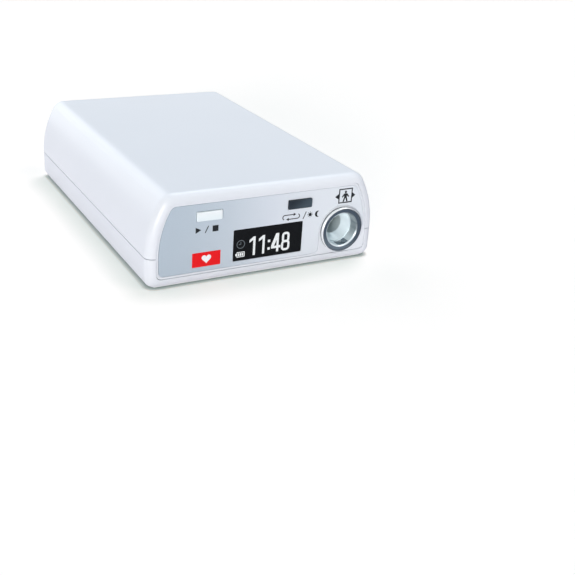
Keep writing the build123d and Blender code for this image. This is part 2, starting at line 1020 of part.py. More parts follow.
def pump_crank():
    hub = along_pump(crank_radius, (crank_left, crank_right))
    hub -= along_pump(shaft_radius + screw_gap, (crank_left, crank_right - crank_cap))
    pin = (crank_right, crank_right + crank_pin_length)
    return hub + rod(crank_pin_radius, pin, pump_y, pump_z + crank_throw)


def pump_housing():
    body = along_pump(pump_radius, (can_right, housing_right))
    body -= along_pump(pump_radius - housing_wall, (can_right + housing_end, housing_right))
    body -= along_pump(bush_radius + crank_gap, (can_right, can_right + housing_end))
    return without_screw_holes(body, (housing_right - pump_screw_bite - part_gap, housing_right))


def pump_wobble_plate():
    right = housing_right - cup_length
    hole = crank_throw + crank_pin_radius + wobble_gap
    return tube(wobble_radius, hole, (right - wobble_thickness, right), pump_y, pump_z)


def pump_diaphragm():
    sheet = along_pump(pump_radius, (housing_right, diaphragm_right))
    cup_left = housing_right - cup_length
    for y, z in cup_places:
        sheet += rod(cup_radius, (cup_left, housing_right), y, z)
    for y, z in cup_places:
        sheet -= rod(cup_radius - cup_wall, (cup_left + cup_wall, diaphragm_right), y, z)
    return without_screw_holes(sheet, (housing_right, diaphragm_right))


def pump_valve_plate():
    x = (diaphragm_right, valve_plate_right)
    plate = along_pump(pump_radius, x)
    for y, z in cup_places:
        plate -= rod(port_radius, x, y, z)
    return without_screw_holes(plate, x)


def pump_head():
    head = along_pump(pump_radius, (valve_plate_right, head_right))
    head -= along_pump(pump_radius - head_rim, (valve_plate_right, head_right - head_end))
    head += along_pump(nipple_radius, (head_right, pump_nipple_end))
    head -= along_pump(nipple_bore, (head_right - head_end, pump_nipple_end))
    return without_screw_holes(head, (valve_plate_right, head_right))


def pump_screws():
    screws = []
    for y, z in pump_screw_places:
        screw = rod(pump_screw_radius, (housing_right - pump_screw_bite, head_right), y, z)
        screw += rod(pump_screw_head, (head_right, head_right + pump_screw_head_height), y, z)
        screws.append(screw)
    return Compound(children=screws)


def pump_bands():
    bore = pump_radius + screw_gap
    outer = pump_radius + band_thickness
    return Compound(
        children=[tube(outer, bore, (x, x + band_width), pump_y, pump_z) for x in band_places]
    )


# Exhaust valve


def along_valve(radius, y):
    return rod(radius, valve_x, y, valve_z)


def valve_block(half, y):
    return block((valve_x - half, valve_x + half), y, (valve_z - half, valve_z + half))


yoke_front = valve_core_front + yoke_thickness
yoke_back = valve_back - yoke_thickness


def valve_nozzle():
    nozzle_front = valve_front - nipple_length
    tip_end = valve_core_front + valve_tip
    cap = valve_block(valve_size / 2, (valve_front, valve_core_front))
    cap += along_valve(nipple_radius, (nozzle_front, valve_front))
    cap += along_valve(valve_tip_radius, (valve_core_front, tip_end))
    return cap - along_valve(nipple_bore, (nozzle_front, tip_end))


def valve_yoke():
    half = valve_size / 2
    inside = half - yoke_thickness
    frame = valve_block(half, (valve_core_front, valve_back))
    frame -= block(
        (valve_x - half, valve_x + half), (yoke_front, yoke_back), (valve_z - inside, valve_z + inside)
    )
    return frame - along_valve(core_radius + bobbin_wall + fit_gap, (valve_core_front, yoke_front))


def valve_bobbin():
    flange = valve_size / 2 - yoke_thickness - fit_gap
    body = along_valve(core_radius + bobbin_wall, (valve_core_front, yoke_back))
    body += along_valve(flange, (yoke_front, yoke_front + bobbin_flange))
    body += along_valve(flange, (yoke_back - bobbin_flange, yoke_back))
    return body - along_valve(core_radius + running_gap, (valve_core_front, yoke_back))


def valve_winding():
    outer = valve_size / 2 - yoke_thickness - fit_gap - winding_gap
    y = (yoke_front + bobbin_flange, yoke_back - bobbin_flange)
    return tube(outer, core_radius + bobbin_wall, valve_x, y, valve_z)


def valve_plunger():
    start = valve_core_front + valve_tip + core_stroke + touch_gap
    return along_valve(core_radius, (start, yoke_back - core_rear_gap))


# Boards and what is on them


def main_board():
    board = block(
        (-main_board_half, main_board_half), (main_board_front, main_board_rear), (main_board_z, board_top)
    )
    for x, y in post_places:
        board -= rod(boss_radius + part_gap, x, y, (main_board_z, board_top))
    for x, y in board_screw_places:
        board -= rod(board_screw_radius + screw_gap, x, y, (main_board_z, board_top))
    return board


def board_screws():
    screws = []
    for x, y in board_screw_places:
        screw = rod(board_screw_head_radius, x, y, (main_board_z - board_screw_head_height, main_board_z))
        screws.append(screw + rod(board_screw_radius, x, y, (main_board_z, board_screw_end)))
    return Compound(children=screws)


def board_chips():
    packages = []
    for x, behind_pump, width, length, height in chips:
        y = pump_y + behind_pump
        sides = (x - width / 2, x + width / 2), (y - length / 2, y + length / 2)
        packages.append(block(*sides, (board_top, board_top + height)))
    return Compound(children=packages)


def board_header():
    middle = socket_x - header_to_socket
    return block(
        (middle - header_width / 2, middle + header_width / 2),
        (front_board_back, front_board_back + header_depth),
        (main_board_z - header_height, main_board_z),
    )


backup_x = backup_from_edge - main_board_half
backup_y = tray_front - backup_from_tray
backup_low = main_board_z - backup_height


def backup_holder():
    cup = block(
        (backup_x - backup_width / 2, backup_x + backup_width / 2),
        (backup_y - backup_length / 2, backup_y + backup_length / 2),
        (backup_low, main_board_z),
    )
    well = (backup_low, backup_low + backup_cell_thickness + 2 * fit_gap)
    return cup - rod(backup_cell_radius + fit_gap, backup_x, backup_y, well)


def backup_cell():
    low = backup_low + fit_gap
    return rod(backup_cell_radius, backup_x, backup_y, (low, low + backup_cell_thickness))


def buzzer():
    y = tray_front - buzzer_from_tray
    low = main_board_z - buzzer_height
    can = rod(buzzer_radius, buzzer_x, y, (low, main_board_z))
    return can - rod(buzzer_hole, buzzer_x, y, (low, low + buzzer_wall))


def usb_socket():
    rise = usb_z + usb_height / 2 - seam_height
    wall_x = half_width - side_arc_radius + sqrt((side_arc_radius - flap_thickness) ** 2 - rise**2)
    right = wall_x - flap_gap - usb_reach
    x = (right - usb_depth, right)
    half_length = usb_width / 2
    low = usb_z - usb_height / 2
    body = block(x, (usb_y - half_length, usb_y + half_length), (low, low + usb_height))
    half_length -= usb_shell
    inside = (low + usb_shell, low + usb_height - usb_shell)
    body -= block(x, (usb_y - half_length, usb_y + half_length), inside)
    body += block((x[0], x[0] + usb_shell), (usb_y - half_length, usb_y + half_length), inside)
    half_tongue = usb_tongue_width / 2
    tongue = (usb_z, usb_z + usb_tongue_thickness)
    return body + block((x[0], x[1] - usb_reach), (usb_y - half_tongue, usb_y + half_tongue), tongue)


def usb_flap():
    flap = flap_layer(flap_thickness, 0) + hinge_rod(hinge_radius, 0)
    return flap + hinge_rod(hinge_pin_radius, hinge_pin_length)


# Cells


def battery_tray():
    outer = tray_half + tray_wall
    tray = block((-outer, outer), (tray_front, tray_back), (tray_low, tray_roof + tray_wall))
    tray -= block((-tray_half, tray_half), (cover_front, tray_back - tray_wall), (tray_low, tray_roof))
    return tray & prism(section_at(wall + fit_gap), front, back)


def cell(y, side):
    """A cell along X with its positive nub towards side."""
    nub_end = side * (tray_half - plate_reach - touch_gap)
    shoulder = nub_end - side * nub_length
    tail = shoulder - side * cell_length
    can = rod(cell_radius, span(shoulder, tail), y, cell_z)
    can = fillet(can.edges().filter_by(GeomType.CIRCLE), cell_edge)
    return can + rod(nub_radius, span(shoulder, nub_end), y, cell_z)


def front_cell():
    return cell(*cell_rows[0])


def rear_cell():
    return cell(*cell_rows[1])


def contact_plate(x, y):
    half = contact_size / 2
    return block(x, (y - half, y + half), (cell_z - half, cell_z + half))


def contact_plates():
    plates = []
    for y, side in cell_rows:
        wall_x = side * tray_half
        plate = contact_plate(span(wall_x - side * contact_thickness, wall_x), y)
        plates.append(plate + rod(dimple_radius, span(wall_x - side * plate_reach, wall_x), y, cell_z))
    return Compound(children=plates)


def contact_springs():
    springs = []
    reach = spring_space - contact_thickness - 2 * spring_wire - touch_gap
    path = Helix(pitch=reach / spring_turns, height=reach, radius=spring_radius)
    wire = sweep(Plane(origin=path @ 0, z_dir=path % 0) * Circle(spring_wire), path=path)
    for y, side in cell_rows:
        wall_x = -side * tray_half
        plate = contact_plate(span(wall_x, wall_x + side * contact_thickness), y)
        start = wall_x + side * (contact_thickness + spring_wire / 2)
        springs.append(plate + Pos(start, y, cell_z) * Rot(0, 90 * side, 0) * wire)
    return Compound(children=springs)


def grip_recess():
    """The shallow recess under the cover, with ribs left standing in it."""
    middle = back - grip_from_back
    half = grip_width / 2
    recess = block((-half, half), (middle - grip_length / 2, middle + grip_length / 2), (0, grip_depth))
    pitch = grip_length / grip_ribs
    for i in range(grip_ribs):
        y = middle - grip_length / 2 + (i + 0.5) * pitch - grip_rib_width / 2
        recess -= block((-half, half), (y, y + grip_rib_width), (grip_rib_sink, grip_depth))
    return recess


def battery_cover():
    plate = shell & below_seam & cover_zone(cover_half - cover_gap, cover_front, lower_top)
    for side in (-1, 1):
        x = span(side * (cover_half - over), side * (cover_half + tongue_width))
        plate += block(x, (cover_front, back - tongue_end), (tongue_low, tongue_high))
    return plate - grip_recess()


parts = [
    upper_case,
    lower_case,
    rating_label,
    case_screws,
    front_panel,
    panel_overlay,
    display_window,
    oled_module,
    oled_holder,
    display_flex,
    start_button,
    auto_button,
    start_plunger,
    auto_plunger,
    tact_switches,
    front_board,
    main_board,
    board_screws,
    board_chips,
    board_header,
    backup_holder,
    backup_cell,
    buzzer,
    usb_socket,
    usb_flap,
    pressure_sensors,
    socket_bezel,
    air_socket,
    socket_seal,
    socket_nut,
    socket_hose,
    pump_hose,
    valve_hose,
    sensor_hoses,
    air_manifold,
    motor_can,
    motor_endcap,
    motor_bushes,
    motor_magnets,
    motor_shaft,
    motor_armature,
    pump_crank,
    pump_housing,
    pump_wobble_plate,
    pump_diaphragm,
    pump_valve_plate,
    pump_head,
    pump_screws,
    pump_bands,
    valve_nozzle,
    valve_yoke,
    valve_bobbin,
    valve_winding,
    valve_plunger,
    battery_tray,
    battery_cover,
    front_cell,
    rear_cell,
    contact_plates,
    contact_springs,
]

os.makedirs("parts", exist_ok=True)
for part in parts:
    export_step(part(), f"parts/{part.__name__}.step")
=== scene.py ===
# %% [markdown]
# This file dresses a worn blood pressure recorder. The real one is a flat white box with a grey front
# panel. The construction comes as a finished frame of solids, and here it gets its finishes, its printed
# marks and the fine work on its boards. Each step has a few sentences like these, and then a short cell of
# code.

# %% Load the frame
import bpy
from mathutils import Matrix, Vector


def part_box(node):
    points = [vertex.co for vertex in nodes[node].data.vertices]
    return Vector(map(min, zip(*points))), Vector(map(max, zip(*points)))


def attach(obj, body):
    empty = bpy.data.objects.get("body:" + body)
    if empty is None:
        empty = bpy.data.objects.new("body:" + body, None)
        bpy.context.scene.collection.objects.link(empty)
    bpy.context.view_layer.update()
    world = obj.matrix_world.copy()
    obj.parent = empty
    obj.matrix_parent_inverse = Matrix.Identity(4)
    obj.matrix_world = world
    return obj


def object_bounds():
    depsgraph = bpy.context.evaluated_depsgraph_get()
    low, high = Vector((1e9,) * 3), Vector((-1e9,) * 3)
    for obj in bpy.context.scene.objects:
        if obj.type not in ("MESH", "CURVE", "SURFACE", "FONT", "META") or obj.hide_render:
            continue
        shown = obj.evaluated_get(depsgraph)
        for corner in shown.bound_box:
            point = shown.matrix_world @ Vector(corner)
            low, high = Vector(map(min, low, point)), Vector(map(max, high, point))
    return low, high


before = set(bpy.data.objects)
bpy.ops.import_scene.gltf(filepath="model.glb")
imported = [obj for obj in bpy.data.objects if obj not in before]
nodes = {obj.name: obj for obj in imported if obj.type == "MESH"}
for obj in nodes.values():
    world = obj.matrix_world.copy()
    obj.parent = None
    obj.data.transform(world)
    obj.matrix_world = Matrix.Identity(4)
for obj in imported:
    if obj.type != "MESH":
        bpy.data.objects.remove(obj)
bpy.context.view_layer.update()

from math import atan2, cos, pi, radians, sin, sqrt

import bmesh
import bpy
from mathutils import Matrix, Vector

mm = 0.001


def corners(name):
    """The lowest and the highest corner of a solid, in millimetres."""
    return [Vector(corner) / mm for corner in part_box(name)]


def middle(name):
    """The middle of a solid's box, in millimetres."""
    low, high = corners(name)
    return (low + high) / 2


# %% [markdown]
# The photograph was taken from the front, a little from the left and from above, with the camera slightly
# tilted. A camera can be aimed with a Track To constraint, but a roll is easier to give with the camera's
# own axes. So the three axes are worked out from three angles. The focal length is kept in pixels of the
# photograph's frame.

# %% Camera
picture_width, focal_pixels = 575, 917.18
camera_place = Vector((-105.96, -239.62, 100.27)) * mm
azimuth, elevation, roll = radians(-30.39), radians(25.35), radians(4.07)


def linked(name, data):
    """A new object in the scene."""
    piece = bpy.data.objects.new(name, data)
    bpy.context.scene.collection.objects.link(piece)
    return piece


forward = -Vector((sin(azimuth) * cos(elevation), -cos(azimuth) * cos(elevation), sin(elevation)))
level = forward.cross(Vector((0, 0, 1))).normalized()
upright = level.cross(forward)
rightward = cos(roll) * level + sin(roll) * upright
upward = cos(roll) * upright - sin(roll) * level

camera = linked("camera", bpy.data.cameras.new("camera"))
camera.data.sensor_width = 36
camera.data.lens = camera.data.sensor_width * focal_pixels / picture_width
camera.data.clip_start = 0.01
camera_axes = Matrix((rightward, upward, -forward)).transposed().to_4x4()
camera.matrix_world = Matrix.Translation(camera_place) @ camera_axes
bpy.context.scene.camera = camera
bpy.context.scene.view_settings.view_transform = "Standard"
print(f"lens {camera.data.lens:.1f} mm, {camera_place.length:.3f} m from the middle of the footprint")

# %% [markdown]
# A finish is a small graph of nodes. Drawing it by hand is slow to read, so one class wraps an output of a
# node, and sums and products of such wires add the Math nodes that work them out. Every other node comes
# from one method.

# %% Wires between nodes
def operators(operation):
    """Two methods that add a Math node, one for a wire before the sign and one for a wire after it."""
    return (
        lambda wire, other: wire.math(operation, other),
        lambda wire, other: wire.node("ShaderNodeMath", {0: other, 1: wire}, operation=operation),
    )


def axis(place, letter):
    """One coordinate of a place."""
    return place.node("ShaderNodeSeparateXYZ", {0: place}, letter)


def set_stops(ramp, stops):
    """Gives a colour ramp its stops, each a place from 0 to 1 and a colour."""
    while len(ramp.elements) < len(stops):
        ramp.elements.new(0.5)
    for element, (place, tone) in zip(ramp.elements, stops):
        element.position = place
        element.color = tone


class Wire:
    """One output of a node. Sums and products of wires are wires too."""

    __add__, __radd__ = operators("ADD")
    __sub__, __rsub__ = operators("SUBTRACT")
    __mul__, __rmul__ = operators("MULTIPLY")
    __truediv__, __pow__ = operators("DIVIDE")[0], operators("POWER")[0]
    x, y, z = (property(lambda wire, letter=letter: axis(wire, letter)) for letter in "XYZ")

    def __init__(self, tree, socket=None):
        self.tree, self.socket = tree, socket

    def node(self, kind, inputs=None, output=0, **settings):
        """Adds a node: first its settings, then a value or a wire for each input."""
        made = self.tree.nodes.new(kind)
        for name, value in settings.items():
            if name == "stops":
                set_stops(made.color_ramp, value)
            else:
                setattr(made, name, value)
        for key, value in (inputs or {}).items():
            if isinstance(value, Wire):
                self.tree.links.new(value.socket, made.inputs[key])
            else:
                made.inputs[key].default_value = value
        return Wire(self.tree, made.outputs[output] if made.outputs else None)

    def math(self, operation, *others):
        """A Math node with this wire first."""
        return self.node("ShaderNodeMath", dict(enumerate((self, *others))), operation=operation)


def cleared(data):
    """The empty node tree of a material or a world, as a wire to start from."""
    data.use_nodes = True
    data.node_tree.nodes.clear()
    return Wire(data.node_tree)


print("a wire knows", [name for name in vars(Wire) if name[0] != "_"], "and five kinds of sums")

# %% [markdown]
# Finishes share a few steps: a grain of a given size, a mix of two colours, a soft step between two places,
# and a bump of a given height. Places are in millimetres on the piece itself, so a pattern stays where it
# is when the piece moves. A finish is then a short design that says what changes over the surface.

# %% Steps that the finishes share
def colour(code):
    """A colour written as on a web page, as Blender's linear values."""
    parts = [int(code[i : i + 2], 16) / 255 for i in (1, 3, 5)]
    linear = [part / 12.92 if part <= 0.04045 else ((part + 0.055) / 1.055) ** 2.4 for part in parts]
    return (*linear, 1.0)


def grain(place, size, detail=2.0):
    """A cloudy pattern from 0 to 1, with lumps of a size in millimetres."""
    return place.node("ShaderNodeTexNoise", {"Vector": place, "Scale": 1 / size, "Detail": detail})


def cells(place, size, output="Distance", distance="EUCLIDEAN"):
    """A pattern of scattered cells of a size in millimetres."""
    inputs = {"Vector": place, "Scale": 1 / size}
    return place.node("ShaderNodeTexVoronoi", inputs, output, feature="F1", distance=distance)


def between(value, low, high):
    """A soft step from 0 at low to 1 at high."""
    inputs = {"Value": value, "From Min": low, "From Max": high}
    return value.node("ShaderNodeMapRange", inputs, interpolation_type="SMOOTHSTEP")


def inside(value, low, high, edge):
    """1 from low to high and 0 outside, with soft edges."""
    return between(value, low, low + edge) * (1 - between(value, high - edge, high))


def repeated(value, pitch):
    """How far a value is from the nearest of a row of lines, from 0 to 0.5 of their pitch."""
    return (value / pitch).math("PINGPONG", 0.5)


def mixed(factor, first, second):
    """From the first colour, a code or a wire, to the second as the factor goes from 0 to 1."""
    first, second = (colour(tone) if isinstance(tone, str) else tone for tone in (first, second))
    return factor.node("ShaderNodeMix", {0: factor, 6: first, 7: second}, 2, data_type="RGBA")


def across(place, centre, letters):
    """Two coordinates of a place, measured from a centre."""
    return [axis(place, letter) - centre["XYZ".index(letter)] for letter in letters]


def radius(first, second):
    """The distance from an axis, of two coordinates across it."""
    return (first * first + second * second) ** 0.5


def bump(height, rise):
    """A normal that is bent as if the surface rose by so many millimetres where height is 1."""
    return height.node("ShaderNodeBump", {"Height": height, "Distance": rise * mm, "Strength": 1.0})


def stretched(place, x, y, z):
    """The same places drawn out along an axis, for brushed and ribbed patterns."""
    return place.node("ShaderNodeVectorMath", {0: place, 1: (x, y, z)}, operation="MULTIPLY")


def turned_rings(place, centre, letters, size):
    """Fine rings round an axis, as a lathe leaves them on a flat end."""
    return grain(stretched(radius(*across(place, centre, letters)), 1, 0, 0), size, 1)


def looks(tone, rough, height, rise, **more):
    """What most designs give: a colour, a roughness and a bump."""
    return dict(Base_Color=tone, Roughness=rough, Normal=bump(height, rise), **more)


def finish(name, design, **constants):
    """A material. The design takes the place in millimetres and gives what changes over the surface."""
    made = bpy.data.materials.new(name)
    place = cleared(made).node("ShaderNodeTexCoord", None, "Object")
    place = place.node("ShaderNodeVectorMath", {0: place, "Scale": 1 / mm}, operation="SCALE")
    sockets = {key.replace("_", " "): value for key, value in {**constants, **design(place)}.items()}
    shader = place.node("ShaderNodeBsdfPrincipled", sockets)
    shader.node("ShaderNodeOutputMaterial", {"Surface": shader})
    return made


painted = set()


def paint(material, *names):
    """Gives solids of the frame their finish, and notes them as painted."""
    for name in names:
        for place in nodes[name].material_slots:
            place.material = material
    painted.update(names)
    print(material.name, "on", ", ".join(names))


# %% [markdown]
# The light is that of a plain white studio. Lamps could be made strong until the floor turns white, but
# then the white case would be washed out too. So the light stays at a level at which a colour renders about
# as it is written. Suns light every place alike, so what the floor sends back is known beforehand. A weak
# sun shines up from below, so that a view from there shows the underside.

# %% Lamps
sky_level, sky_tint = 0.15, colour("#dcebff")
# For each sun: where its light comes from, how bright it makes a wall that faces it, its width, its tint.
suns = {
    "roof_sun": ((0.36, 0.24, 0.90), 0.45, 28, "#f2f8ff"),
    "wall_sun": ((-0.67, -0.74, 0.07), 0.97, 24, "#fcf9f5"),
    "back_sun": ((-0.42, 0.83, 0.36), 0.36, 60, "#f8fbff"),
    "under_sun": ((0.1, -0.2, -0.97), 0.6, 60, "#ffffff"),
    "edge_sun": ((0.46, -0.40, 0.75), 0.19, 30, "#ffffff"),
}
floor_level = [sky_level * part for part in sky_tint[:3]]
for name, (source, brightness, spread, tint) in suns.items():
    lamp = bpy.data.lights.new(name, "SUN")
    lamp.energy = pi * brightness
    lamp.angle = radians(spread)
    lamp.color = colour(tint)[:3]
    source = Vector(source).normalized()
    linked(name, lamp).rotation_euler = source.to_track_quat("Z", "Y").to_euler()
    share = brightness * max(source.z, 0)
    floor_level = [so_far + share * part for so_far, part in zip(floor_level, lamp.color)]
print("light on the floor:", [round(part, 3) for part in floor_level])

# %% [markdown]
# The floor could be one large square, but then a view from below would only show that. So it is made of
# four strips round an opening under the recorder. It lies a hair lower than the recorder's foot, because
# two faces in one plane flicker.

# %% Floor
floor_half, floor_drop, opening_inset = 3.0, 0.02 * mm, 2.5 * mm


def rectangle(left, right, low, high):
    """The four corners, from the lower left one round to the right."""
    return [(left, low), (right, low), (right, high), (left, high)]


(left, near, _), (right, far, _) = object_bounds()
opening = rectangle(left + opening_inset, right - opening_inset, near + opening_inset, far - opening_inset)
outline = rectangle(-floor_half, floor_half, -floor_half, floor_half)
strips = [(i, (i + 1) % 4, 4 + (i + 1) % 4, 4 + i) for i in range(4)]
floor_mesh = bpy.data.meshes.new("floor")
floor_mesh.from_pydata([(x, y, -floor_drop) for x, y in outline + opening], [], strips)
floor = linked("floor", floor_mesh)
print("opening from", *(f"{part / mm:.1f}" for part in opening[0]), "mm")

# %% [markdown]
# Only what the camera sees of the floor is lifted to white, and the lift is what its own light lacks, so it
# still takes the shadow. From below it is clear. Rays that start almost on it pass too, so that light from
# below reaches what lies on the floor, such as the open cover. Where things stand on a real floor there is
# a narrow dark line, which an Ambient Occlusion node with a short reach gives.

# %% Floor paint
floor_skin, contact_reach, contact_samples = 0.3 * mm, 1.5 * mm, 8
floor_colour, floor_seen, contact_colour = colour("#ede7ea"), colour("#ffe2e4"), colour("#52706a")
floor_white = 1.01

lift = [floor_white - part * lit for part, lit in zip(floor_seen, floor_level)]
floor_paint = bpy.data.materials.new("floor_paint")
start = cleared(floor_paint)
seen = start.node("ShaderNodeLightPath", None, "Is Camera Ray")
close = start.node("ShaderNodeLightPath", None, "Ray Length").math("LESS_THAN", floor_skin)
passing = start.node("ShaderNodeNewGeometry", None, "Backfacing").math("MAXIMUM", close)
bouncing = start.node("ShaderNodeBsdfDiffuse", {"Color": floor_colour})
shadowed = start.node("ShaderNodeBsdfDiffuse", {"Color": floor_seen})
glow = start.node("ShaderNodeEmission", {"Color": (*lift, 1), "Strength": 1.0})
lifted = start.node("ShaderNodeAddShader", {0: shadowed, 1: glow})
free = start.node("ShaderNodeAmbientOcclusion", {"Distance": contact_reach}, "AO", samples=contact_samples)
contact = start.node("ShaderNodeBsdfDiffuse", {"Color": contact_colour})
shown = start.node("ShaderNodeMixShader", {0: free, 1: contact, 2: lifted})
solid = start.node("ShaderNodeMixShader", {0: seen, 1: bouncing, 2: shown})
clear = start.node("ShaderNodeBsdfTransparent")
surface = start.node("ShaderNodeMixShader", {0: passing, 1: solid, 2: clear})
start.node("ShaderNodeOutputMaterial", {"Surface": surface})
floor_mesh.materials.append(floor_paint)
print("lift:", [round(part, 3) for part in lift])

# %% [markdown]
# The sky lights the scene only a little, but it has to look white behind the recorder and in its shiny
# parts. The Light Path node tells these rays from the others.

# %% Sky
world = bpy.data.worlds.new("studio")
bpy.context.scene.world = world
start = cleared(world)
kinds = ("Camera", "Glossy", "Transmission")
direct, mirrored, passed = (start.node("ShaderNodeLightPath", None, f"Is {kind} Ray") for kind in kinds)
shown = direct.math("MAXIMUM", mirrored.math("MAXIMUM", passed))
inputs = {"Color": mixed(shown, sky_tint, "#ffffff"), "Strength": sky_level + shown * (1 - sky_level)}
start.node("ShaderNodeOutputWorld", {"Surface": start.node("ShaderNodeBackground", inputs)})
print("sky level", sky_level)

# %% [markdown]
# The shells are white ABS with a soft gloss. Moulded plastic is never quite flat: it has a faint orange
# peel and a finer grain from the mould, and hands leave it a little more matt in places. All three are
# noise of different sizes. The panel inside the front is the same plastic.

# %% Case plastic
def case_design(place):
    tone = mixed(grain(place, 45), "#e5eaf0", "#ebeff4")
    peel = grain(place, 1.8) * 0.8 + grain(place, 0.25, 1) * 0.2
    return looks(tone, 0.3 + 0.12 * grain(place, 12, 4), peel, 0.006)


case_gloss = {"Specular_IOR_Level": 0.32, "Coat_Weight": 0.08, "Coat_Roughness": 0.15}
case_plastic = finish("case_plastic", case_design, **case_gloss)
paint(case_plastic, "upper_case", "lower_case", "front_panel", "battery_cover", "usb_flap")

# %% [markdown]
# The grey film on the panel is printed polyester. Its grey grows lighter towards the hose socket, to nearly
# white.

# %% Film on the panel
fade_start, fade_end = -30, 17
fade_stops = [(0.0, "#b2c2ce"), (0.35, "#c0cdd7"), (0.7, "#d4dde6"), (1.0, "#e2e9ef")]


def film_design(place):
    along = between(place.x, fade_start, fade_end)
    stops = [(share, colour(code)) for share, code in fade_stops]
    fade = along.node("ShaderNodeValToRGB", {0: along}, stops=stops)
    pearl = grain(place, 0.12, 1)
    return looks(mixed(pearl * 0.12, fade, "#f4f7fa"), 0.34 + 0.1 * pearl, pearl, 0.003)


paint(finish("panel_film", film_design, Coat_Weight=0.25, Coat_Roughness=0.2), "panel_overlay")

# %% [markdown]
# The left button is white and the right one is slate grey. Both are a little lighter at one end, as the
# light falls along them, and thumbs leave the faces smoother than the sides. The slate one has a low gloss,
# or it would mirror the white room and look pale.

# %% Buttons
key_low, key_high = (corner.z for corner in corners("start_button"))
slate_left, slate_right = (corner.x for corner in corners("auto_button"))


def white_key_design(place):
    tone = mixed(between(place.z, key_low, key_high), "#ebf8fb", "#f6fcfd")
    return looks(tone, 0.2 + 0.1 * grain(place, 1.5), grain(place, 0.4), 0.003)


def slate_key_design(place):
    slant = place.x - 1.4 * (place.z - (key_low + key_high) / 2)
    tone = mixed(between(slant, slate_left + 0.5, slate_right - 0.5), "#1d2832", "#414f59")
    return looks(tone, 0.42 + 0.12 * grain(place, 1.0), grain(place, 0.2), 0.004)


paint(finish("white_key", white_key_design, Coat_Weight=0.5, Coat_Roughness=0.08), "start_button")
paint(finish("slate_key", slate_key_design, Specular_IOR_Level=0.25), "auto_button")

# %% [markdown]
# The display sits behind a black lens. Its digits are lit, so they get a finish that gives light instead of
# only reflecting it. Very fine dark lines across them are the gaps between the dots of such a display. The
# lens has a coating against glare, so it mirrors little.

# %% Display
dot_pitch = 0.14


def lens_design(place):
    tone = mixed(grain(place, 6), "#06090b", "#0c1013")
    return looks(tone, 0.12 + 0.06 * grain(place, 3, 4), grain(place, 4), 0.001)


def glowing(place, factor, dark, bright):
    """What a lit mark gives: two colours of its stuff and two of its light."""
    tone, light = mixed(factor, *dark), mixed(factor, *bright)
    return dict(Base_Color=tone, Emission_Color=light, Roughness=0.3 + 0.1 * grain(place, 0.5))


def lit_design(place):
    across_gap, up_gap = (between(repeated(axis(place, letter), dot_pitch), 0.0, 0.1) for letter in "XZ")
    return glowing(place, across_gap * up_gap, ("#101315", "#2a2f32"), ("#8f9aa0", "#f8fbfc"))


def dim_design(place):
    return glowing(place, grain(place, 0.4), ("#15181a", "#1d2123"), ("#5b6368", "#6b7378"))


paint(finish("black_lens", lens_design, Specular_IOR_Level=0.14), "display_window")
lit_dots = finish("lit_dots", lit_design, Emission_Strength=1.0, Specular_IOR_Level=0.1)
dim_dots = finish("dim_dots", dim_design, Emission_Strength=0.8, Specular_IOR_Level=0.1)

# %% [markdown]
# The hose socket is turned metal. A slate ring faces the front, and its polished side is painted near white,
# partly as a painted highlight; a dark band where the ring meets the panel is painted shadow. The bore is
# silver down to a cone and a darker throat, with a slot for the plug's key. The slot is a grey patch of
# painted shade round the real slot, and one side of the bore's wall is painted darker with streaks, as
# painted shade and reflection. One finish does it all: it reads from the place how far a point is from the
# socket's axis and how deep it lies, and mixes the tones by that. Noise that is stretched round the axis
# makes the marks of the turning.

# %% Hose socket
socket_centre = middle("socket_bezel")
nose, panel_plane = (corner.y for corner in corners("socket_bezel"))
mouth_radius, dark_radius = 4.9, 6.17
cone_depth, throat_depth = 3.25, 5.6
slot_turn, slot_low, slot_high, slot_reach, slot_start, slot_end = 10.5, -1.45, 1.9, 2.0, 0.5, 3.1
light_turn, shade_turn = 255, 30


def towards(place, angle):
    """How far a point lies from the socket's axis along one direction across it."""
    x, z = across(place, socket_centre, "XZ")
    return x * cos(radians(angle)) + z * sin(radians(angle))


def turned_marks(place):
    """Fine rings along the bore."""
    return grain(stretched(place, 0.05, 6, 0.05), 0.5, 1)


def face_tone(place):
    """The slate of what faces the front, lighter on the side of the light."""
    return mixed(between(towards(place, light_turn), 1, 6), "#515f6b", "#75848e")


def ring_design(place):
    y = place.y
    rim = radius(*across(place, socket_centre, "XZ")) - 0.04 * towards(place, -40)
    dark_face = 1 - between(y, nose + 0.08, nose + 0.2)
    dark_face = dark_face * (1 - between(rim, dark_radius - 0.13, dark_radius))
    # Painted shadow: a dark band at the foot of the ring, where it meets the panel.
    foot = between(y, panel_plane - 0.45, panel_plane - 0.3)
    # The side of the ring is painted near white: polished metal with a painted highlight.
    tone = mixed(dark_face, mixed(grain(place, 5), "#e6ecef", "#f8fbfc"), face_tone(place))
    tone, rough = mixed(foot, tone, "#2a353d"), 0.2 + 0.1 * grain(place, 2, 4)
    return looks(tone, rough, turned_marks(place), 0.002, Metallic=0.3 + 0.5 * dark_face)


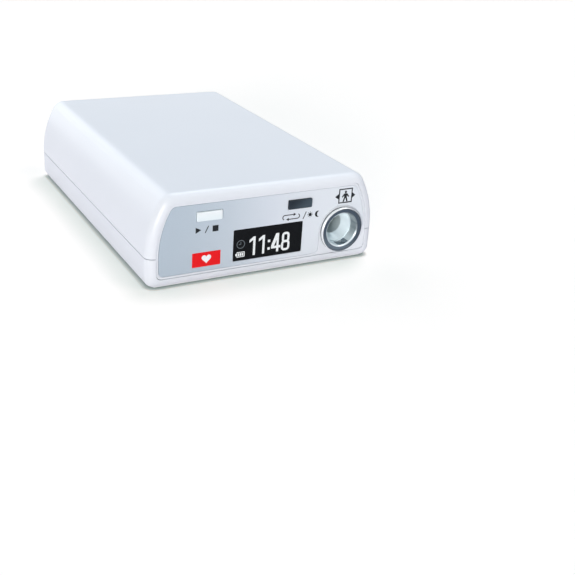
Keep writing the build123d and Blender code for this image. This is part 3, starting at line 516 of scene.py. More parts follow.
def socket_design(place):
    depth, rim = place.y - nose, radius(*across(place, socket_centre, "XZ"))
    front_ring = between(rim, mouth_radius - 0.05, mouth_radius + 0.1) * (1 - between(depth, 0.3, 0.5))
    # Painted shade: the key slot is a grey patch that stands for the shade in the slot, round the real one.
    slot = inside(towards(place, slot_turn), slot_low, slot_high, 0.1)
    slot = slot * between(towards(place, slot_turn - 90), slot_reach, slot_reach + 0.2)
    slot = slot * inside(depth, slot_start, slot_end, 0.1)
    throat = between(depth, throat_depth - 0.05, throat_depth + 0.05)
    wall = 1 - between(depth, cone_depth - 0.1, cone_depth)
    # Painted shade and reflection: one side of the bore's wall is darker, with streaks along it.
    streak = grain(stretched(place, 0.9, 0.05, 0.9), 1.2, 2)
    shaded = wall * between(towards(place, shade_turn), 1.0, 4.2) * (0.5 + 0.7 * streak)
    tone = mixed(shaded, mixed(grain(place, 3), "#e2eff4", "#eef8fb"), "#626f74")
    tone = mixed(slot, mixed(front_ring, tone, face_tone(place)), "#80909a")
    tone, marks = mixed(throat, tone, "#d3dfe1"), turned_marks(place)
    return looks(tone, 0.26 + 0.12 * marks, marks, 0.003, Metallic=0.25 + 0.45 * front_ring)


paint(finish("polished_ring", ring_design), "socket_bezel")
paint(finish("turned_socket", socket_design), "air_socket")

# %% [markdown]
# Inside, most parts are of one stuff, so one function writes their finishes: two close colours with a grain
# of one size, matt or shiny. Metals that were rolled, drawn or turned also get fine lines along one way,
# from noise that is stretched that way. A table then gives each stuff its numbers and the solids made of
# it.

# %% Plain and brushed finishes
def plain(name, first, second, size, rough, rise, **constants):
    """A finish of two close colours with a grain of one size, in millimetres."""

    def design(place):
        lumps = grain(place, size, 3)
        return looks(mixed(lumps, first, second), rough + 0.12 * lumps, lumps, rise)

    return finish(name, design, **constants)


def brushed(name, first, second, along, rough):
    """A metal with fine lines along one axis."""
    draw = [0.04 if letter == along else 4.0 for letter in "XYZ"]

    def design(place):
        lines = grain(stretched(place, *draw), 1.0, 3)
        return looks(mixed(lines, first, second), rough + 0.15 * grain(place, 4), lines, 0.002)

    return finish(name, design, Metallic=1.0)


metal, soft = {"Metallic": 1.0}, {"Subsurface_Weight": 0.2, "Coat_Weight": 0.3}
hoses = "socket_hose pump_hose valve_hose sensor_hoses"
# For each stuff: two colours, the size of its grain, its roughness, the rise of its bump, constants, solids.
stuffs = {
    "screw_steel": ("#858d94", "#a9b1b7", 0.5, 0.24, 0.002, metal, "case_screws pump_screws"),
    "screw_zinc": ("#b5bcc2", "#cdd3d8", 0.5, 0.22, 0.002, metal, "board_screws"),
    "bronze": ("#8a6338", "#b08450", 0.2, 0.34, 0.004, metal, "motor_bushes"),
    "magnet_grey": ("#34373a", "#46494c", 0.4, 0.6, 0.004, {}, "motor_magnets"),
    "natural_nylon": ("#d9d3c2", "#e8e3d4", 3.0, 0.42, 0.004, {}, "air_manifold valve_bobbin valve_nozzle"),
    "white_nylon": ("#dcdfe0", "#eaecec", 4.0, 0.4, 0.004, {}, "battery_tray pump_housing pump_head"),
    "grey_nylon": ("#777d82", "#898f94", 2.0, 0.45, 0.004, {}, "pump_valve_plate pressure_sensors"),
    "black_nylon": ("#1b1d1f", "#2a2d30", 0.4, 0.42, 0.004, {}, "oled_holder backup_holder socket_nut"),
    "black_moulding": ("#17191b", "#232628", 0.25, 0.5, 0.003, {}, "board_header buzzer tact_switches"),
    "white_pin": ("#e6e4dc", "#f1efe8", 0.6, 0.35, 0.002, {}, "start_plunger auto_plunger motor_endcap"),
    "pump_nylon": ("#a9a49a", "#b9b4aa", 1.0, 0.4, 0.003, {}, "pump_crank pump_wobble_plate"),
    "black_rubber": ("#191a1b", "#262829", 0.15, 0.62, 0.006, {}, "socket_seal pump_bands pump_diaphragm"),
    "soft_hose": ("#c9cfd0", "#dde2e2", 1.2, 0.3, 0.004, soft, hoses),
    "chip_epoxy": ("#1d1e20", "#2b2c2f", 0.12, 0.55, 0.003, {}, "board_chips"),
}
for name, (*numbers, constants, solids) in stuffs.items():
    paint(plain(name, *numbers, **constants), *solids.split())

drawn_metals = {
    "drawn_steel": ("#a3aab0", "#c2c8cd", "X", 0.25, "motor_can motor_shaft"),
    "spring_steel": ("#b9bfc4", "#d4d8db", "Z", 0.2, "contact_plates contact_springs"),
    "zinc_plate": ("#aeb4b6", "#c9cdce", "Y", 0.28, "valve_yoke valve_plunger"),
}
for name, (*numbers, solids) in drawn_metals.items():
    paint(brushed(name, *numbers), *solids.split())

# %% [markdown]
# A printed circuit board is glass cloth under green solder mask. The copper traces under the mask show as
# slightly raised lighter lines. They run in bundles, here one way and there the other, so scattered cells
# choose the way of the lines. Small gold rings are the vias, where a trace goes through the board.

# %% Circuit boards
trace_pitch, via_spacing, bundle_size = 0.62, 2.6, 7.5
turned_share, filled_share = 0.42, 0.82


def board_design(first, second):
    """The finish of a board that lies along two axes."""

    def lines(place, letter):
        return 1 - between(repeated(axis(place, letter), trace_pitch), 0.13, 0.17)

    def design(place):
        pick = axis(cells(place, bundle_size, "Color", "CHEBYCHEV"), "X")
        way = pick.math("GREATER_THAN", turned_share)
        traces = lines(place, first) * way + lines(place, second) * (1 - way)
        traces = traces.math("MAXIMUM", pick.math("GREATER_THAN", filled_share) * 0.8)
        via, weave = cells(place, via_spacing), grain(place, 0.3, 1)
        # The middle of each via is painted near black: painted shade in its hole.
        ring, hole = 1 - between(via, 0.115, 0.13), 1 - between(via, 0.05, 0.06)
        mask = mixed(traces, mixed(weave, "#0e4a2d", "#115234"), "#1f6c46")
        tone = mixed(hole, mixed(ring, mask, "#c9a254"), "#0a0f0c")
        return looks(tone, 0.28 + 0.1 * weave, traces + ring * 0.5, 0.012, Metallic=ring * (1 - hole))

    return design


for name, letters in (("main_board", "XY"), ("front_board", "XZ")):
    paint(finish(name + "_mask", board_design(*letters), Coat_Weight=0.3, Coat_Roughness=0.15), name)

# %% [markdown]
# The display is a sheet of dark glass with a black screen inside a grey edge. Its flat cable is amber film,
# and the copper traces in it stand out as ribs. Both are one solid each, so the place tells the parts
# apart.

# %% Display glass and flex cable
flex_pitch, screen_edge, screen_foot = 0.5, 1.6, 2.88
glass_low, glass_high = corners("oled_module")


def flex_design(place):
    traces = 1 - between(repeated(place.z, flex_pitch), 0.1, 0.16)
    return looks(mixed(traces, "#a5621a", "#d9923a"), 0.22 + 0.1 * grain(place, 0.8), traces, 0.01)


def glass_design(place):
    soft_edge = 0.05
    wide = inside(place.x, glass_low.x + screen_edge, glass_high.x - screen_edge + soft_edge, soft_edge)
    tall = inside(place.z, glass_low.z + screen_foot, glass_high.z - screen_edge + soft_edge, soft_edge)
    screen = wide * tall
    tone = mixed(screen, mixed(grain(place, 5), "#2b3438", "#39444a"), "#0d1216")
    return looks(tone, 0.06 + 0.05 * grain(place, 2), screen, 0.01)


paint(finish("amber_flex", flex_design), "display_flex")
paint(finish("display_glass", glass_design, Coat_Weight=0.5, Coat_Roughness=0.03), "oled_module")

# %% [markdown]
# The motor's armature is a stack of thin iron plates with three copper coils, and the valve's coil is wound
# of enamelled wire. Lines across the axis show the plates, and lines round it show the turns.

# %% Armature and coil
plate_pitch, wire_pitch, wound_radius = 0.5, 0.24, 4.3
shaft_centre = middle("motor_shaft")


def armature_design(place):
    plates = between(repeated(place.x, plate_pitch), 0.02, 0.14)
    wound = 1 - between(radius(*across(place, shaft_centre, "YZ")), wound_radius - 0.1, wound_radius)
    copper = mixed(grain(stretched(place, 0.6, 3, 3), 0.6, 1), "#8f4a1f", "#cb7a3c")
    tone = mixed(wound, mixed(plates, "#2c2f32", "#8b9196"), copper)
    return looks(tone, 0.3 + 0.15 * grain(place, 0.5), plates, 0.02, Metallic=0.7 + 0.3 * wound)


def coil_design(place):
    turns = repeated(place.y, wire_pitch) * 2
    tone = mixed(turns, "#5a2a0e", mixed(grain(place, 1.5), "#a4531d", "#c46c2c"))
    return looks(tone, 0.25 + 0.1 * grain(place, 0.8), turns, 0.05, Metallic=0.6 + 0.3 * turns)


paint(finish("iron_and_copper", armature_design), "motor_armature")
enamel = finish("copper_enamel", coil_design, Coat_Weight=0.4, Coat_Roughness=0.1)
paint(enamel, "valve_winding")

# %% [markdown]
# The two AA cells get a plain printed sleeve in a pale green, with a darker band near the positive end. The
# sleeve stops short of both ends, where the steel can shows. The coin cell is turned steel, so its marks
# are rings.

# %% Cells
positive_bare, negative_bare, band_start, band_end = 1.7, 0.6, 4.5, 14.1


def cell_design(name):
    """The sleeve of a cell. The front cell's positive end is on the right, the rear one's on the left."""
    low, high = corners(name)

    def design(place):
        to_left, to_right = place.x - low.x, high.x - place.x
        positive, negative = (to_right, to_left) if name == "front_cell" else (to_left, to_right)
        sleeve = between(positive, positive_bare, positive_bare + 0.1)
        sleeve = sleeve * between(negative, negative_bare, negative_bare + 0.1)
        band = inside(positive, band_start, band_end, 0.1)
        steel = mixed(turned_rings(place, (low + high) / 2, "YZ", 0.3), "#a9afb4", "#c8cdd1")
        printed = mixed(band, mixed(grain(place, 20), "#b9cdbf", "#c5d6ca"), "#4d6f5d")
        rough = 0.22 + 0.1 * grain(place, 3)
        return looks(mixed(sleeve, steel, printed), rough, sleeve, 0.05, Metallic=1 - 0.7 * sleeve)

    return design


def coin_design(place):
    rings = turned_rings(place, middle("backup_cell"), "XY", 0.15)
    return looks(mixed(rings, "#adb3b8", "#cdd2d5"), 0.2 + 0.15 * rings, rings, 0.003)


for name in ("front_cell", "rear_cell"):
    paint(finish(name + "_sleeve", cell_design(name), Coat_Weight=0.4, Coat_Roughness=0.08), name)
paint(finish("coin_steel", coin_design, Metallic=1.0), "backup_cell")

# %% [markdown]
# The data socket is a nickel-plated shell round a black tongue. Both are one solid, so the finish tells
# them apart by place. The plate on the underside is brushed aluminium with a thin printed border and
# nothing in it.

# %% Data socket and plate
shell_low, shell_high = corners("usb_socket")
shell_wall = 0.5
plate_low, plate_high = corners("rating_label")
plate_margin, plate_line = 1.2, 0.25


def data_socket_design(place):
    core = inside(place.y, shell_low.y + shell_wall, shell_high.y - shell_wall, 0.1)
    core = core * inside(place.z, shell_low.z + shell_wall, shell_high.z - shell_wall, 0.05)
    lines = grain(stretched(place, 0.1, 3, 3), 0.6, 2)
    tone = mixed(core, mixed(lines, "#adb2b5", "#cdd1d3"), "#17191b")
    return looks(tone, 0.24 + 0.2 * core, lines, 0.002, Metallic=1 - core)


def plate_design(place):
    def within(margin):
        low, high = plate_low + Vector([margin] * 3), plate_high - Vector([margin] * 3)
        fits = place.x.math("GREATER_THAN", low.x) * place.x.math("LESS_THAN", high.x)
        return fits * place.y.math("GREATER_THAN", low.y) * place.y.math("LESS_THAN", high.y)

    border = within(plate_margin) - within(plate_margin + plate_line)
    lines = grain(stretched(place, 0.05, 5, 1), 1.0, 3)
    tone = mixed(border, mixed(lines, "#b4babe", "#cfd4d7"), "#4a5056")
    return looks(tone, 0.32 + 0.12 * grain(place, 6), lines, 0.002, Metallic=0.85 - 0.6 * border)


paint(finish("nickel_shell", data_socket_design), "usb_socket")
paint(finish("brushed_plate", plate_design), "rating_label")
print("still bare:", sorted(set(nodes) - painted))

# %% [markdown]
# The printed marks are flat shapes on the film. A 2D curve fills an outline and leaves its holes open, so
# each mark is drawn as loops, filled, given the thickness of ink, and stood up on the panel's face.

# %% Making a piece of loops
panel_face, lens_face = corners("panel_overlay")[0].y, corners("display_window")[0].y
ink = 0.03


def put(name, mesh, material, slot=None):
    """Makes a piece of a mesh. It rides on the case, with its finish."""
    mesh.materials.clear()
    mesh.materials.append(material)
    piece = linked(name, mesh)
    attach(piece, "case")
    print(name, len(mesh.polygons), "faces")


def evaluated(holder):
    """The plain mesh of what a holder shows. The holder goes."""
    bpy.context.view_layer.update()
    mesh = bpy.data.meshes.new_from_object(holder.evaluated_get(bpy.context.evaluated_depsgraph_get()))
    bpy.data.objects.remove(holder)
    return mesh


def written(name, shape):
    """The mesh of an edited shape."""
    mesh = bpy.data.meshes.new(name)
    shape.to_mesh(mesh)
    shape.free()
    return mesh


def pooled(name, parts):
    """One mesh of several."""
    pool = bmesh.new()
    for part in parts:
        pool.from_mesh(part)
        bpy.data.meshes.remove(part)
    return written(name, pool)


def filled(loops):
    """A mesh of one outline and its holes, as thick as ink, in the plane of the screen."""
    curve = bpy.data.curves.new("loops", "CURVE")
    curve.dimensions, curve.fill_mode, curve.extrude = "2D", "BOTH", ink * mm / 2
    for loop in loops:
        spline = curve.splines.new("POLY")
        spline.points.add(len(loop) - 1)
        for point, (x, z) in zip(spline.points, loop):
            point.co = (x * mm, z * mm, 0, 1)
        spline.use_cyclic_u = True
    mesh = evaluated(linked("loops", curve))
    bpy.data.curves.remove(curve)
    return mesh


def mark(name, groups, face, material, slot=None):
    """A flat mark whose back lies on a face. Each group is an outline and its holes, as x and z."""
    mesh = pooled(name, [filled(group) for group in groups])
    mesh.transform(Matrix.Translation((0, (face - ink / 2) * mm, 0)) @ Matrix.Rotation(pi / 2, 4, "X"))
    put(name, mesh, material, slot)


# %% Drawing loops
def arc(x, z, size, angles):
    """Points at some angles, in radians, at one distance from a centre."""
    return [(x + size * cos(angle), z + size * sin(angle)) for angle in angles]


def disc(x, z, size, steps=40):
    return arc(x, z, size, [2 * pi * i / steps for i in range(steps)])


def oblong(left, right, low, high, corner=0.0, steps=6):
    """A rectangle, with round corners if corner isn't 0."""
    if not corner:
        return rectangle(left, right, low, high)
    inner = rectangle(left + corner, right - corner, low + corner, high - corner)
    loop = []
    for quarter, (x, z) in enumerate((inner[2], inner[3], inner[0], inner[1])):
        loop += arc(x, z, corner, [(quarter + step / steps) * pi / 2 for step in range(steps + 1)])
    return loop


def hollow(left, right, low, high, line, corner=0.0, inner_corner=0.0):
    """A rectangle with a hole in it, so that only a line is left."""
    hole = oblong(left + line, right - line, low + line, high - line, inner_corner)
    return [oblong(left, right, low, high, corner), hole]


def bar(start, end, width):
    """A straight stroke between two points."""
    (x, z), (u, v) = start, end
    length = sqrt((u - x) ** 2 + (v - z) ** 2)
    aside, along = (v - z) / length * width / 2, (u - x) / length * width / 2
    return [(x - aside, z + along), (x + aside, z - along), (u + aside, v - along), (u - aside, v + along)]


def band(x, z, inner, outer, start, end, steps=24):
    """Part of a ring between two angles in degrees."""
    angles = [radians(start + (end - start) * i / steps) for i in range(steps + 1)]
    return arc(x, z, outer, angles) + arc(x, z, inner, angles[::-1])


print("a round corner has", len(oblong(0, 2, 0, 2, 1)) // 4, "points")

# %% [markdown]
# The display shows a time. Its digits are narrow and heavy, as dot displays have them. A font would bring
# its own shapes, so each digit is drawn as a few outlines. The places are measured from the digit's left
# edge and its foot, in millimetres.

# %% Display digits
digit_foot, top, stroke = 5.42, 5.2, 0.62
digit_one = [
    [[(1.1, 0.0), (1.1 + stroke, 0.0), (1.1 + stroke, top), (1.1, top)]],
    [[(0.0, 3.62), (0.0, 4.32), (1.15, top), (1.15, 4.34)]],
]
digit_four = [
    [oblong(1.56, 1.56 + stroke, 0.0, top)],
    [oblong(0.0, 2.78, 1.05, 1.72)],
    [[(0.0, 1.72), (0.0, 1.9), (1.3, top), (1.6, top), (1.6, 3.5), (0.82, 1.72)]],
]
lower_bowl, upper_bowl = 0.95, 0.9
digit_eight = [
    hollow(0.0, 2.5, 0.0, 2.92, stroke, lower_bowl, lower_bowl - stroke),
    hollow(0.14, 2.36, 2.3, top, stroke, upper_bowl, upper_bowl - stroke),
]
dot_side, dot_feet = 0.68, (0.86, 3.0)
colon = [[oblong(0.0, dot_side, foot, foot + dot_side)] for foot in dot_feet]

digits = [(digit_one, -4.93), (digit_one, -2.22), (colon, 0.42), (digit_four, 1.48), (digit_eight, 4.44)]
strokes = []
for digit, left in digits:
    strokes += [[[(left + x, digit_foot + z) for x, z in loop] for loop in group] for group in digit]
mark("display_digits", strokes, lens_face, lit_dots, "display_glass")

# %% [markdown]
# A small dim clock and a small cell with three full bars stand at the left of the time. Both are discs,
# bars and rectangles.

# %% Display signs
clock_x, clock_z, clock_radius, clock_line, hand = -7.4, 8.95, 1.2, 0.22, 0.18
clock = [
    [disc(clock_x, clock_z, clock_radius), disc(clock_x, clock_z, clock_radius - clock_line)],
    [bar((clock_x, clock_z - hand / 2), (clock_x, clock_z + 0.72), hand)],
    [bar((clock_x - 0.6, clock_z), (clock_x + hand / 2, clock_z), hand)],
]
mark("display_clock", clock, lens_face, dim_dots, "display_glass")

cell_left, cell_right, cell_low, cell_high, cell_line = -8.5, -6.2, 5.4, 6.86, 0.2
battery = [
    hollow(cell_left, cell_right, cell_low, cell_high, cell_line, 0.18),
    [oblong(cell_left - 0.34, cell_left, 5.84, 6.42)],
]
battery += [[oblong(left, left + 0.42, 5.76, 6.5)] for left in (-8.12, -7.55, -6.98)]
mark("display_battery", battery, lens_face, lit_dots, "display_glass")

# %% [markdown]
# The prints on the panel are signs that any device may carry: start and stop under the left key, and
# repeat, sun and moon under the right one. The loop of the repeat sign is two half rings and two lines with
# arrow heads.

# %% Signs under the keys
dark_ink = plain("dark_ink", "#12161a", "#1e2328", 0.3, 0.5, 0.001, Specular_IOR_Level=0.3)
sign_low, sign_high = 13.62, 15.22
start_stop = [
    [[(-20.1, sign_low), (-18.6, (sign_low + sign_high) / 2), (-20.1, sign_high)]],
    [bar((-17.5, sign_low - 0.1), (-16.6, sign_high + 0.1), 0.22)],
    [oblong(-15.5, -13.9, sign_low, sign_high)],
]
mark("start_stop_sign", start_stop, panel_face, dark_ink)

loop_left, loop_right, loop_low, loop_high, loop_line, loop_gap = 4.3, 9.5, 13.95, 15.4, 0.24, 1.9
bend = (loop_high - loop_low) / 2
loop_middle = loop_low + bend
repeat = [
    [band(loop_left + bend, loop_middle, bend - loop_line, bend, 90, 250)],
    [band(loop_right - bend, loop_middle, bend - loop_line, bend, -90, 70)],
    [oblong(loop_left + bend, loop_right - loop_gap, loop_high - loop_line, loop_high)],
    [oblong(loop_left + loop_gap, loop_right - bend, loop_low, loop_low + loop_line)],
]
head_half, head_length = 0.42, 0.75
for back, length, height in (
    (loop_right - loop_gap, head_length, loop_high - loop_line / 2),
    (loop_left + loop_gap, -head_length, loop_low + loop_line / 2),
):
    repeat.append([[(back, height - head_half), (back + length, height), (back, height + head_half)]])
repeat.append([bar((10.5, 13.6), (11.35, 15.6), 0.22)])
mark("repeat_sign", repeat, panel_face, dark_ink)

# %% Sun and moon
sun_x, sun_z, ray_count = 12.6, 14.63, 8
sun = [[disc(sun_x, sun_z, 0.48, 24)]]
ray_angles = [2 * pi * i / ray_count for i in range(ray_count)]
ray_starts, ray_ends = (arc(sun_x, sun_z, reach, ray_angles) for reach in (0.56, 0.84))
sun += [[bar(*ends, 0.13)] for ends in zip(ray_starts, ray_ends)]
mark("sun_sign", sun, panel_face, dark_ink)

moon_x, moon_z, moon_radius, moon_turn, moon_bite = 14.95, 14.53, 0.88, 70, 0.66
moon = arc(moon_x, moon_z, moon_radius, [radians(angle) for angle in range(moon_turn, 361 - moon_turn, 10)])
tip_z, tip_x = moon_radius * sin(radians(moon_turn)), moon_radius * cos(radians(moon_turn)) - moon_bite
tip_turn = atan2(tip_z, tip_x)
inner_angles = [2 * pi - tip_turn - i * 2 * (pi - tip_turn) / 12 for i in range(1, 12)]
moon += arc(moon_x + moon_bite, moon_z, sqrt(tip_z**2 + tip_x**2), inner_angles)
mark("moon_sign", [[moon]], panel_face, dark_ink)

# %% [markdown]
# At the lower left the panel has a red badge with a white heart. The heart is a known curve of sines and
# cosines, which is smoother than one drawn by hand, and its ink lies on the badge's. At the upper right a
# plain standing figure in a frame is put together of bars.

# %% Badge with a heart
red_ink = plain("red_ink", "#ea020c", "#f2060f", 0.5, 0.35, 0.001, Specular_IOR_Level=0.3)
white_ink = plain("white_ink", "#f3f5f6", "#fbfcfc", 0.3, 0.45, 0.001)
badge_left, badge_right, badge_low, badge_high = -20.9, -13.1, 4.4, 8.35
mark("badge", [[oblong(badge_left, badge_right, badge_low, badge_high, 0.2)]], panel_face, red_ink)
heart_x, heart_z, heart_size = (badge_left + badge_right) / 2, (badge_low + badge_high) / 2 + 0.15, 0.082
heart = []
for i in range(48):
    t = 2 * pi * i / 48
    aside, up = 16 * sin(t) ** 3, 13 * cos(t) - 5 * cos(2 * t) - 2 * cos(3 * t) - cos(4 * t)
    heart.append((heart_x + aside * heart_size, heart_z + up * heart_size))
mark("badge_heart", [[heart]], panel_face - ink, white_ink)

# %% Figure in a frame
frame_left, frame_right, frame_low, frame_high, frame_line = 21.05, 25.3, 16.6, 20.7, 0.32
figure_x = (frame_left + frame_right) / 2
figure = [
    hollow(frame_left, frame_right, frame_low, frame_high, frame_line),
    [disc(figure_x, 19.72, 0.34, 20)],
    [oblong(figure_x - 0.42, figure_x + 0.42, 18.0, 19.32, 0.12)],
]
for side in (-1, 1):
    figure.append([bar((figure_x + side * 0.34, 19.15), (figure_x + side * 1.02, 18.3), 0.36)])
    figure.append([bar((figure_x + side * 0.2, 18.2), (figure_x + side * 0.6, 17.0), 0.42)])
for edge, reach in ((frame_left, -1.1), (frame_right, 0.95)):
    figure.append([[(edge, 17.8), (edge, 19.35), (edge + reach, 18.58)]])
mark("figure_sign", figure, panel_face, dark_ink)

# %% [markdown]
# Boards carry many small things that repeat: chip legs, resistors, pins. Geometry Nodes are made for that.
# One function builds a tree, gives it named inputs, runs it on a start mesh and keeps the result as a plain
# mesh. The wires of the finishes work in these trees too.

# %% Growing a mesh with nodes
socket_kinds = {int: "NodeSocketInt", float: "NodeSocketFloat", tuple: "NodeSocketVector"}


def grow(name, start, lengths, numbers, design, material):
    """Runs a tree of nodes on the start mesh. Its inputs are lengths in millimetres and plain numbers."""
    sizes = {
        label: tuple(part * mm for part in value) if isinstance(value, tuple) else value * mm
        for label, value in lengths.items()
    }
    sizes.update(numbers)
    tree = bpy.data.node_groups.new(name, "GeometryNodeTree")
    tree.interface.new_socket("Geometry", in_out="INPUT", socket_type="NodeSocketGeometry")
    keys = {}
    for label, value in sizes.items():
        made = tree.interface.new_socket(label, in_out="INPUT", socket_type=socket_kinds[type(value)])
        keys[made.identifier] = value
    tree.interface.new_socket("Geometry", in_out="OUTPUT", socket_type="NodeSocketGeometry")
    entry = tree.nodes.new("NodeGroupInput")
    wires = {label: Wire(tree, entry.outputs[label]) for label in sizes}
    grown = design(Wire(tree, entry.outputs["Geometry"]), wires)
    grown = grown.node("GeometryNodeRealizeInstances", {0: grown})
    grown = grown.node("GeometryNodeSetMaterial", {"Geometry": grown, "Material": material})
    grown.node("NodeGroupOutput", {0: grown})

    holder = linked(name, start)
    modifier = holder.modifiers.new(name, "NODES")
    modifier.node_group = tree
    for identifier, value in keys.items():
        modifier[identifier] = value
    mesh = evaluated(holder)
    bpy.data.node_groups.remove(tree)
    return mesh


def vector(x, y, z):
    """Three numbers or wires as one wire. At least one is a wire."""
    wire = next(part for part in (x, y, z) if isinstance(part, Wire))
    return wire.node("ShaderNodeCombineXYZ", {0: x, 1: y, 2: z})


def block(x, y, z):
    """A block of three sizes, of which at least one is a wire."""
    size = vector(x, y, z)
    return size.node("GeometryNodeMeshCube", {"Size": size})


def row(piece, count, step, start):
    """Copies of a piece in a straight row."""
    line = piece.node("GeometryNodeMeshLine", {"Count": count, "Start Location": start, "Offset": step})
    return piece.node("GeometryNodeInstanceOnPoints", {"Points": line, "Instance": piece})


def placed(piece, **change):
    """A piece with a Translation, or a Rotation in radians."""
    return piece.node("GeometryNodeTransform", {"Geometry": piece, **change})


def joined(*pieces):
    """Several pieces as one. The Join Geometry node takes them all in one input."""
    node = pieces[0].tree.nodes.new("GeometryNodeJoinGeometry")
    for piece in reversed(pieces):
        piece.tree.links.new(piece.socket, node.inputs[0])
    return Wire(pieces[0].tree, node.outputs[0])


def grow_piece(name, slot, material, start, lengths, numbers, design):
    """A grown mesh as a piece of its own."""
    put(name, grow(name, start, lengths, numbers, design, material), material, slot)


print("sizes can be", [kind.__name__ for kind in socket_kinds])

# %% [markdown]
# Each chip stands on rows of bent legs. A leg leaves the body halfway up, turns down and ends in a flat
# foot on the board. Its side view is one outline, and the tree repeats it along the sides of each chip. The
# chips' places come from the solids themselves: the loose triangles of a copy are merged, and each island
# of faces is one chip.

# %% Places of the chips
def islands(name):
    """The corner boxes of the separate parts of a node, in millimetres."""
    copy = bmesh.new()
    copy.from_mesh(nodes[name].data)
    bmesh.ops.remove_doubles(copy, verts=copy.verts, dist=1e-6)
    left, boxes = set(copy.verts), []
    while left:
        front, island = [left.pop()], []
        while front:
            vertex = front.pop()
            island.append(vertex.co.copy() / mm)
            near = {edge.other_vert(vertex) for edge in vertex.link_edges} & left
            left -= near
            front += near
        boxes.append([Vector([pick(point[i] for point in island) for i in range(3)]) for pick in (min, max)])
    copy.free()
    return sorted(boxes, key=lambda box: box[0].x)


chips = islands("board_chips")
print(len(chips), "chips")

# %% Chip legs
def slab(outline, width):
    """A solid with the same outline all along its width. The outline is x and z, in millimetres."""
    part = bmesh.new()
    sides = (-width / 2, width / 2)
    near, far = ([part.verts.new((x * mm, y * mm, z * mm)) for x, z in outline] for y in sides)
    part.faces.new(near)
    part.faces.new(far[::-1])
    for i in range(len(outline)):
        j = (i + 1) % len(outline)
        part.faces.new((near[j], near[i], far[i], far[j]))
    bmesh.ops.recalc_face_normals(part, faces=part.faces)
    return written("slab", part)


def leg_outline(height, reach, thick=0.12):
    """The side view of a bent leg: out of the body, down, and along the board."""
    out, foot, root = reach * 0.35, reach * 0.55, -0.05
    top, over, under = height + thick, foot + thick * 0.6, foot - thick * 0.4
    upper = [(root, top), (out + thick, top), (over, thick), (reach, thick)]
    return upper + [(reach, 0.0), (under, 0.0), (out, height), (root, height)]


def legs_design(sides):
    """A row of legs along two or four sides of a chip."""

    def design(leg, size):
        pitch, count = size["Pitch"], size["Count"]
        first = (count - 1) * pitch * -0.5
        rows = []
        for side in range(sides):
            out = size["Half Length"] if sides == 4 and side % 2 else size["Half Width"]
            legs = row(leg, count, vector(0.0, pitch, 0.0), vector(out, first, 0.0))
            rows.append(placed(legs, Rotation=(0, 0, side * 2 * pi / sides)))
        return placed(joined(*rows), Translation=size["Middle"])

    return design


large_side, leg_rise, end_gap = 8, 0.4, 1.0
# For a small and for a large chip: the reach of a leg, the pitch, a leg's width, the sides that have legs.
leg_kinds = [(0.6, 0.9, 0.34, 2), (0.9, 0.65, 0.28, 4)]
tinned = plain("tinned", "#b6babd", "#d2d5d6", 0.3, 0.25, 0.002, Metallic=1.0)
leg_meshes = []
for low, high in chips:
    width, length, height = high - low
    reach, pitch, leg_width, sides = leg_kinds[min(width, length) > large_side]
    count = int((length - end_gap) / pitch) + 1
    lengths = {"Pitch": pitch, "Half Width": width / 2, "Half Length": length / 2}
    lengths["Middle"] = ((low.x + high.x) / 2, (low.y + high.y) / 2, low.z)
    leg = slab(leg_outline(height * leg_rise, reach), leg_width)
    leg_meshes.append(grow("legs", leg, lengths, {"Count": count}, legs_design(sides), tinned))
    print(f"chip {width:.0f} x {length:.0f} mm, {count} legs a side")
put("chip_legs", pooled("chip_legs", leg_meshes), tinned, "steel")

# %% [markdown]
# Small resistors and capacitors lie between the chips. Points are scattered over the free places of the
# board at least a part's length from each other, and each gets a small block, turned one way or the other.
# The same seed gives the same points again for the tinned ends, which are a piece of their own.

# %% Free places of the board
board_low, board_high = corners("main_board")
free_step, edge_margin, keep_off, front_strip = 1.0, 3.0, 1.7, 6.5
taken = chips + islands("board_screws")


def is_free(x, y):
    """True where no chip or screw is near."""
    for low, high in taken:
        if low.x - keep_off < x < high.x + keep_off and low.y - keep_off < y < high.y + keep_off:
            return False
    return y > board_low.y + front_strip


field = bmesh.new()
columns, rows = (int((board_high[i] - board_low[i] - 2 * edge_margin) / free_step) for i in (0, 1))
for i in range(columns):
    for j in range(rows):
        x, y = board_low.x + edge_margin + i * free_step, board_low.y + edge_margin + j * free_step
        if is_free(x + free_step / 2, y + free_step / 2):
            square = rectangle(x, x + free_step, y, y + free_step)
            field.faces.new([field.verts.new((u * mm, v * mm, board_high.z * mm)) for u, v in square])
field_mesh = written("field", field)
print(len(field_mesh.polygons), "free squares")

# %% Small parts on the board
def scatter_design(ends):
    """A block on each scattered point, or the two tinned ends of that block."""

    def design(ground, size):
        inputs = {"Mesh": ground, "Distance Min": size["Spacing"]}
        inputs.update({"Density Max": size["Density"], "Seed": size["Seed"]})
        points = ground.node("GeometryNodeDistributePointsOnFaces", inputs, distribute_method="POISSON")
        length, width, tall = size["Length"], size["Width"], size["Height"]
        if ends:
            cap = block(length * 0.22, width * 1.04, tall * 1.04)
            shifts = [vector(length * share, 0.0, tall * 0.52) for share in (0.42, -0.42)]
            part = joined(*(placed(cap, Translation=shift) for shift in shifts))
        else:
            part = placed(block(length * 0.7, width, tall), Translation=vector(0.0, 0.0, tall * 0.5))
        seed, kind = size["Seed"], "FunctionNodeRandomValue"
        pick = ground.node(kind, {4: 0, 5: 1, 8: seed}, 2, data_type="INT")
        grade = ground.node(kind, {2: 0.8, 3: 1.35, 8: seed}, 1, data_type="FLOAT")
        turn = vector(0.0, 0.0, pick * (pi / 2))
        inputs = {"Points": points, "Instance": part, "Rotation": turn, "Scale": grade}
        return ground.node("GeometryNodeInstanceOnPoints", inputs)

    return design


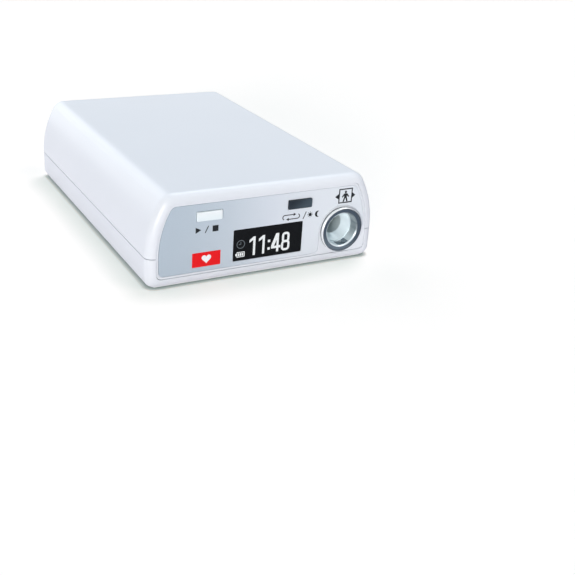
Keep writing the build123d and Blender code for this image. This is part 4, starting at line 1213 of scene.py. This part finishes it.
part_lengths = {"Length": 1.5, "Width": 0.8, "Height": 0.5, "Spacing": 2.5}
part_numbers = {"Density": 300000.0, "Seed": 7}
body_paint = plain("part_bodies", "#3b3733", "#a98f6c", 3.0, 0.45, 0.002)
for name, material, slot in (("bodies", body_paint, "part_black"), ("ends", tinned, "steel")):
    design = scatter_design(name == "ends")
    grow_piece("board_part_" + name, slot, material, field_mesh, part_lengths, part_numbers, design)

# %% [markdown]
# The pins of the plug between the two boards end above the main board, each in a small cone of solder. The
# tongue of the data socket carries flat gold contacts. Both are rows of one small shape.

# %% Pins of the plug between the boards
empty_mesh = bpy.data.meshes.new("nothing")
header_low, header_high = corners("board_header")
pin_side, pin_rise, cone_radius, pin_pitch = 0.5, 0.9, 0.8, 2.0


def pins_design(start, size):
    side, rise = size["Side"], size["Rise"]
    pin = placed(block(side, side, rise), Translation=vector(0.0, 0.0, rise * 0.5))
    cone = {"Vertices": 16, "Radius Top": side * 0.6, "Radius Bottom": size["Cone"], "Depth": rise * 0.6}
    pair = joined(pin, start.node("GeometryNodeMeshCone", cone))
    return row(pair, size["Count"], vector(size["Pitch"], 0.0, 0.0), size["First"])


lengths = {"Side": pin_side, "Rise": pin_rise, "Cone": cone_radius, "Pitch": pin_pitch}
lengths["First"] = (header_low.x + pin_pitch / 2, middle("board_header").y, board_high.z)
numbers = {"Count": int((header_high.x - header_low.x) / pin_pitch)}
grow_piece("header_pins", "steel", tinned, empty_mesh, lengths, numbers, pins_design)

# %% Contacts of the data socket
contact_count, contact_pitch, contact_inset = 5, 0.65, 0.7
contact_length, contact_width, contact_rise = 3.2, 0.32, 0.08
contact_gold = plain("contact_gold", "#c79b45", "#dcb767", 0.2, 0.2, 0.002, Metallic=1.0)


def contacts_design(start, size):
    strip = block(size["Length"], size["Width"], size["Rise"])
    return row(strip, size["Count"], vector(0.0, size["Pitch"], 0.0), size["First"])


tongue = middle("usb_socket")
lengths = {"Length": contact_length, "Width": contact_width, "Rise": contact_rise, "Pitch": contact_pitch}
lengths["First"] = (
    shell_high.x - contact_length / 2 - contact_inset,
    tongue.y - (contact_count - 1) * contact_pitch / 2,
    tongue.z - contact_rise / 2,
)
numbers = {"Count": contact_count}
grow_piece("usb_contacts", "steel", contact_gold, empty_mesh, lengths, numbers, contacts_design)

# %% [markdown]
# The outer layer of the valve's coil is one long spiral of wire. A tree turns a spiral into a thin tube,
# and the tube stands only a little proud of the solid under it.

# %% Turns of the valve's coil
coil_low, coil_high = corners("valve_winding")
coil_length, coil_radius = coil_high.y - coil_low.y - wire_pitch, (coil_high.x - coil_low.x) / 2
wire_radius = wire_pitch * 0.46


def turns_design(start, size):
    inputs = {"Resolution": 28, "Rotations": size["Turns"], "Height": size["Height"]}
    inputs.update({"Start Radius": size["Radius"], "End Radius": size["Radius"]})
    spiral = start.node("GeometryNodeCurveSpiral", inputs)
    round_wire = start.node("GeometryNodeCurvePrimitiveCircle", {"Resolution": 6, "Radius": size["Wire"]})
    inputs = {"Curve": spiral, "Profile Curve": round_wire, "Fill Caps": True}
    tube = start.node("GeometryNodeCurveToMesh", inputs)
    return placed(tube, Translation=size["Start"], Rotation=(-pi / 2, 0, 0))


coil_middle = middle("valve_winding")
lengths = {"Radius": coil_radius, "Height": coil_length, "Wire": wire_radius}
lengths["Start"] = (coil_middle.x, coil_low.y + wire_pitch / 2, coil_middle.z)
numbers = {"Turns": float(int(coil_length / wire_pitch))}
grow_piece("winding_turns", "winding_copper", enamel, empty_mesh, lengths, numbers, turns_design)

# %% [markdown]
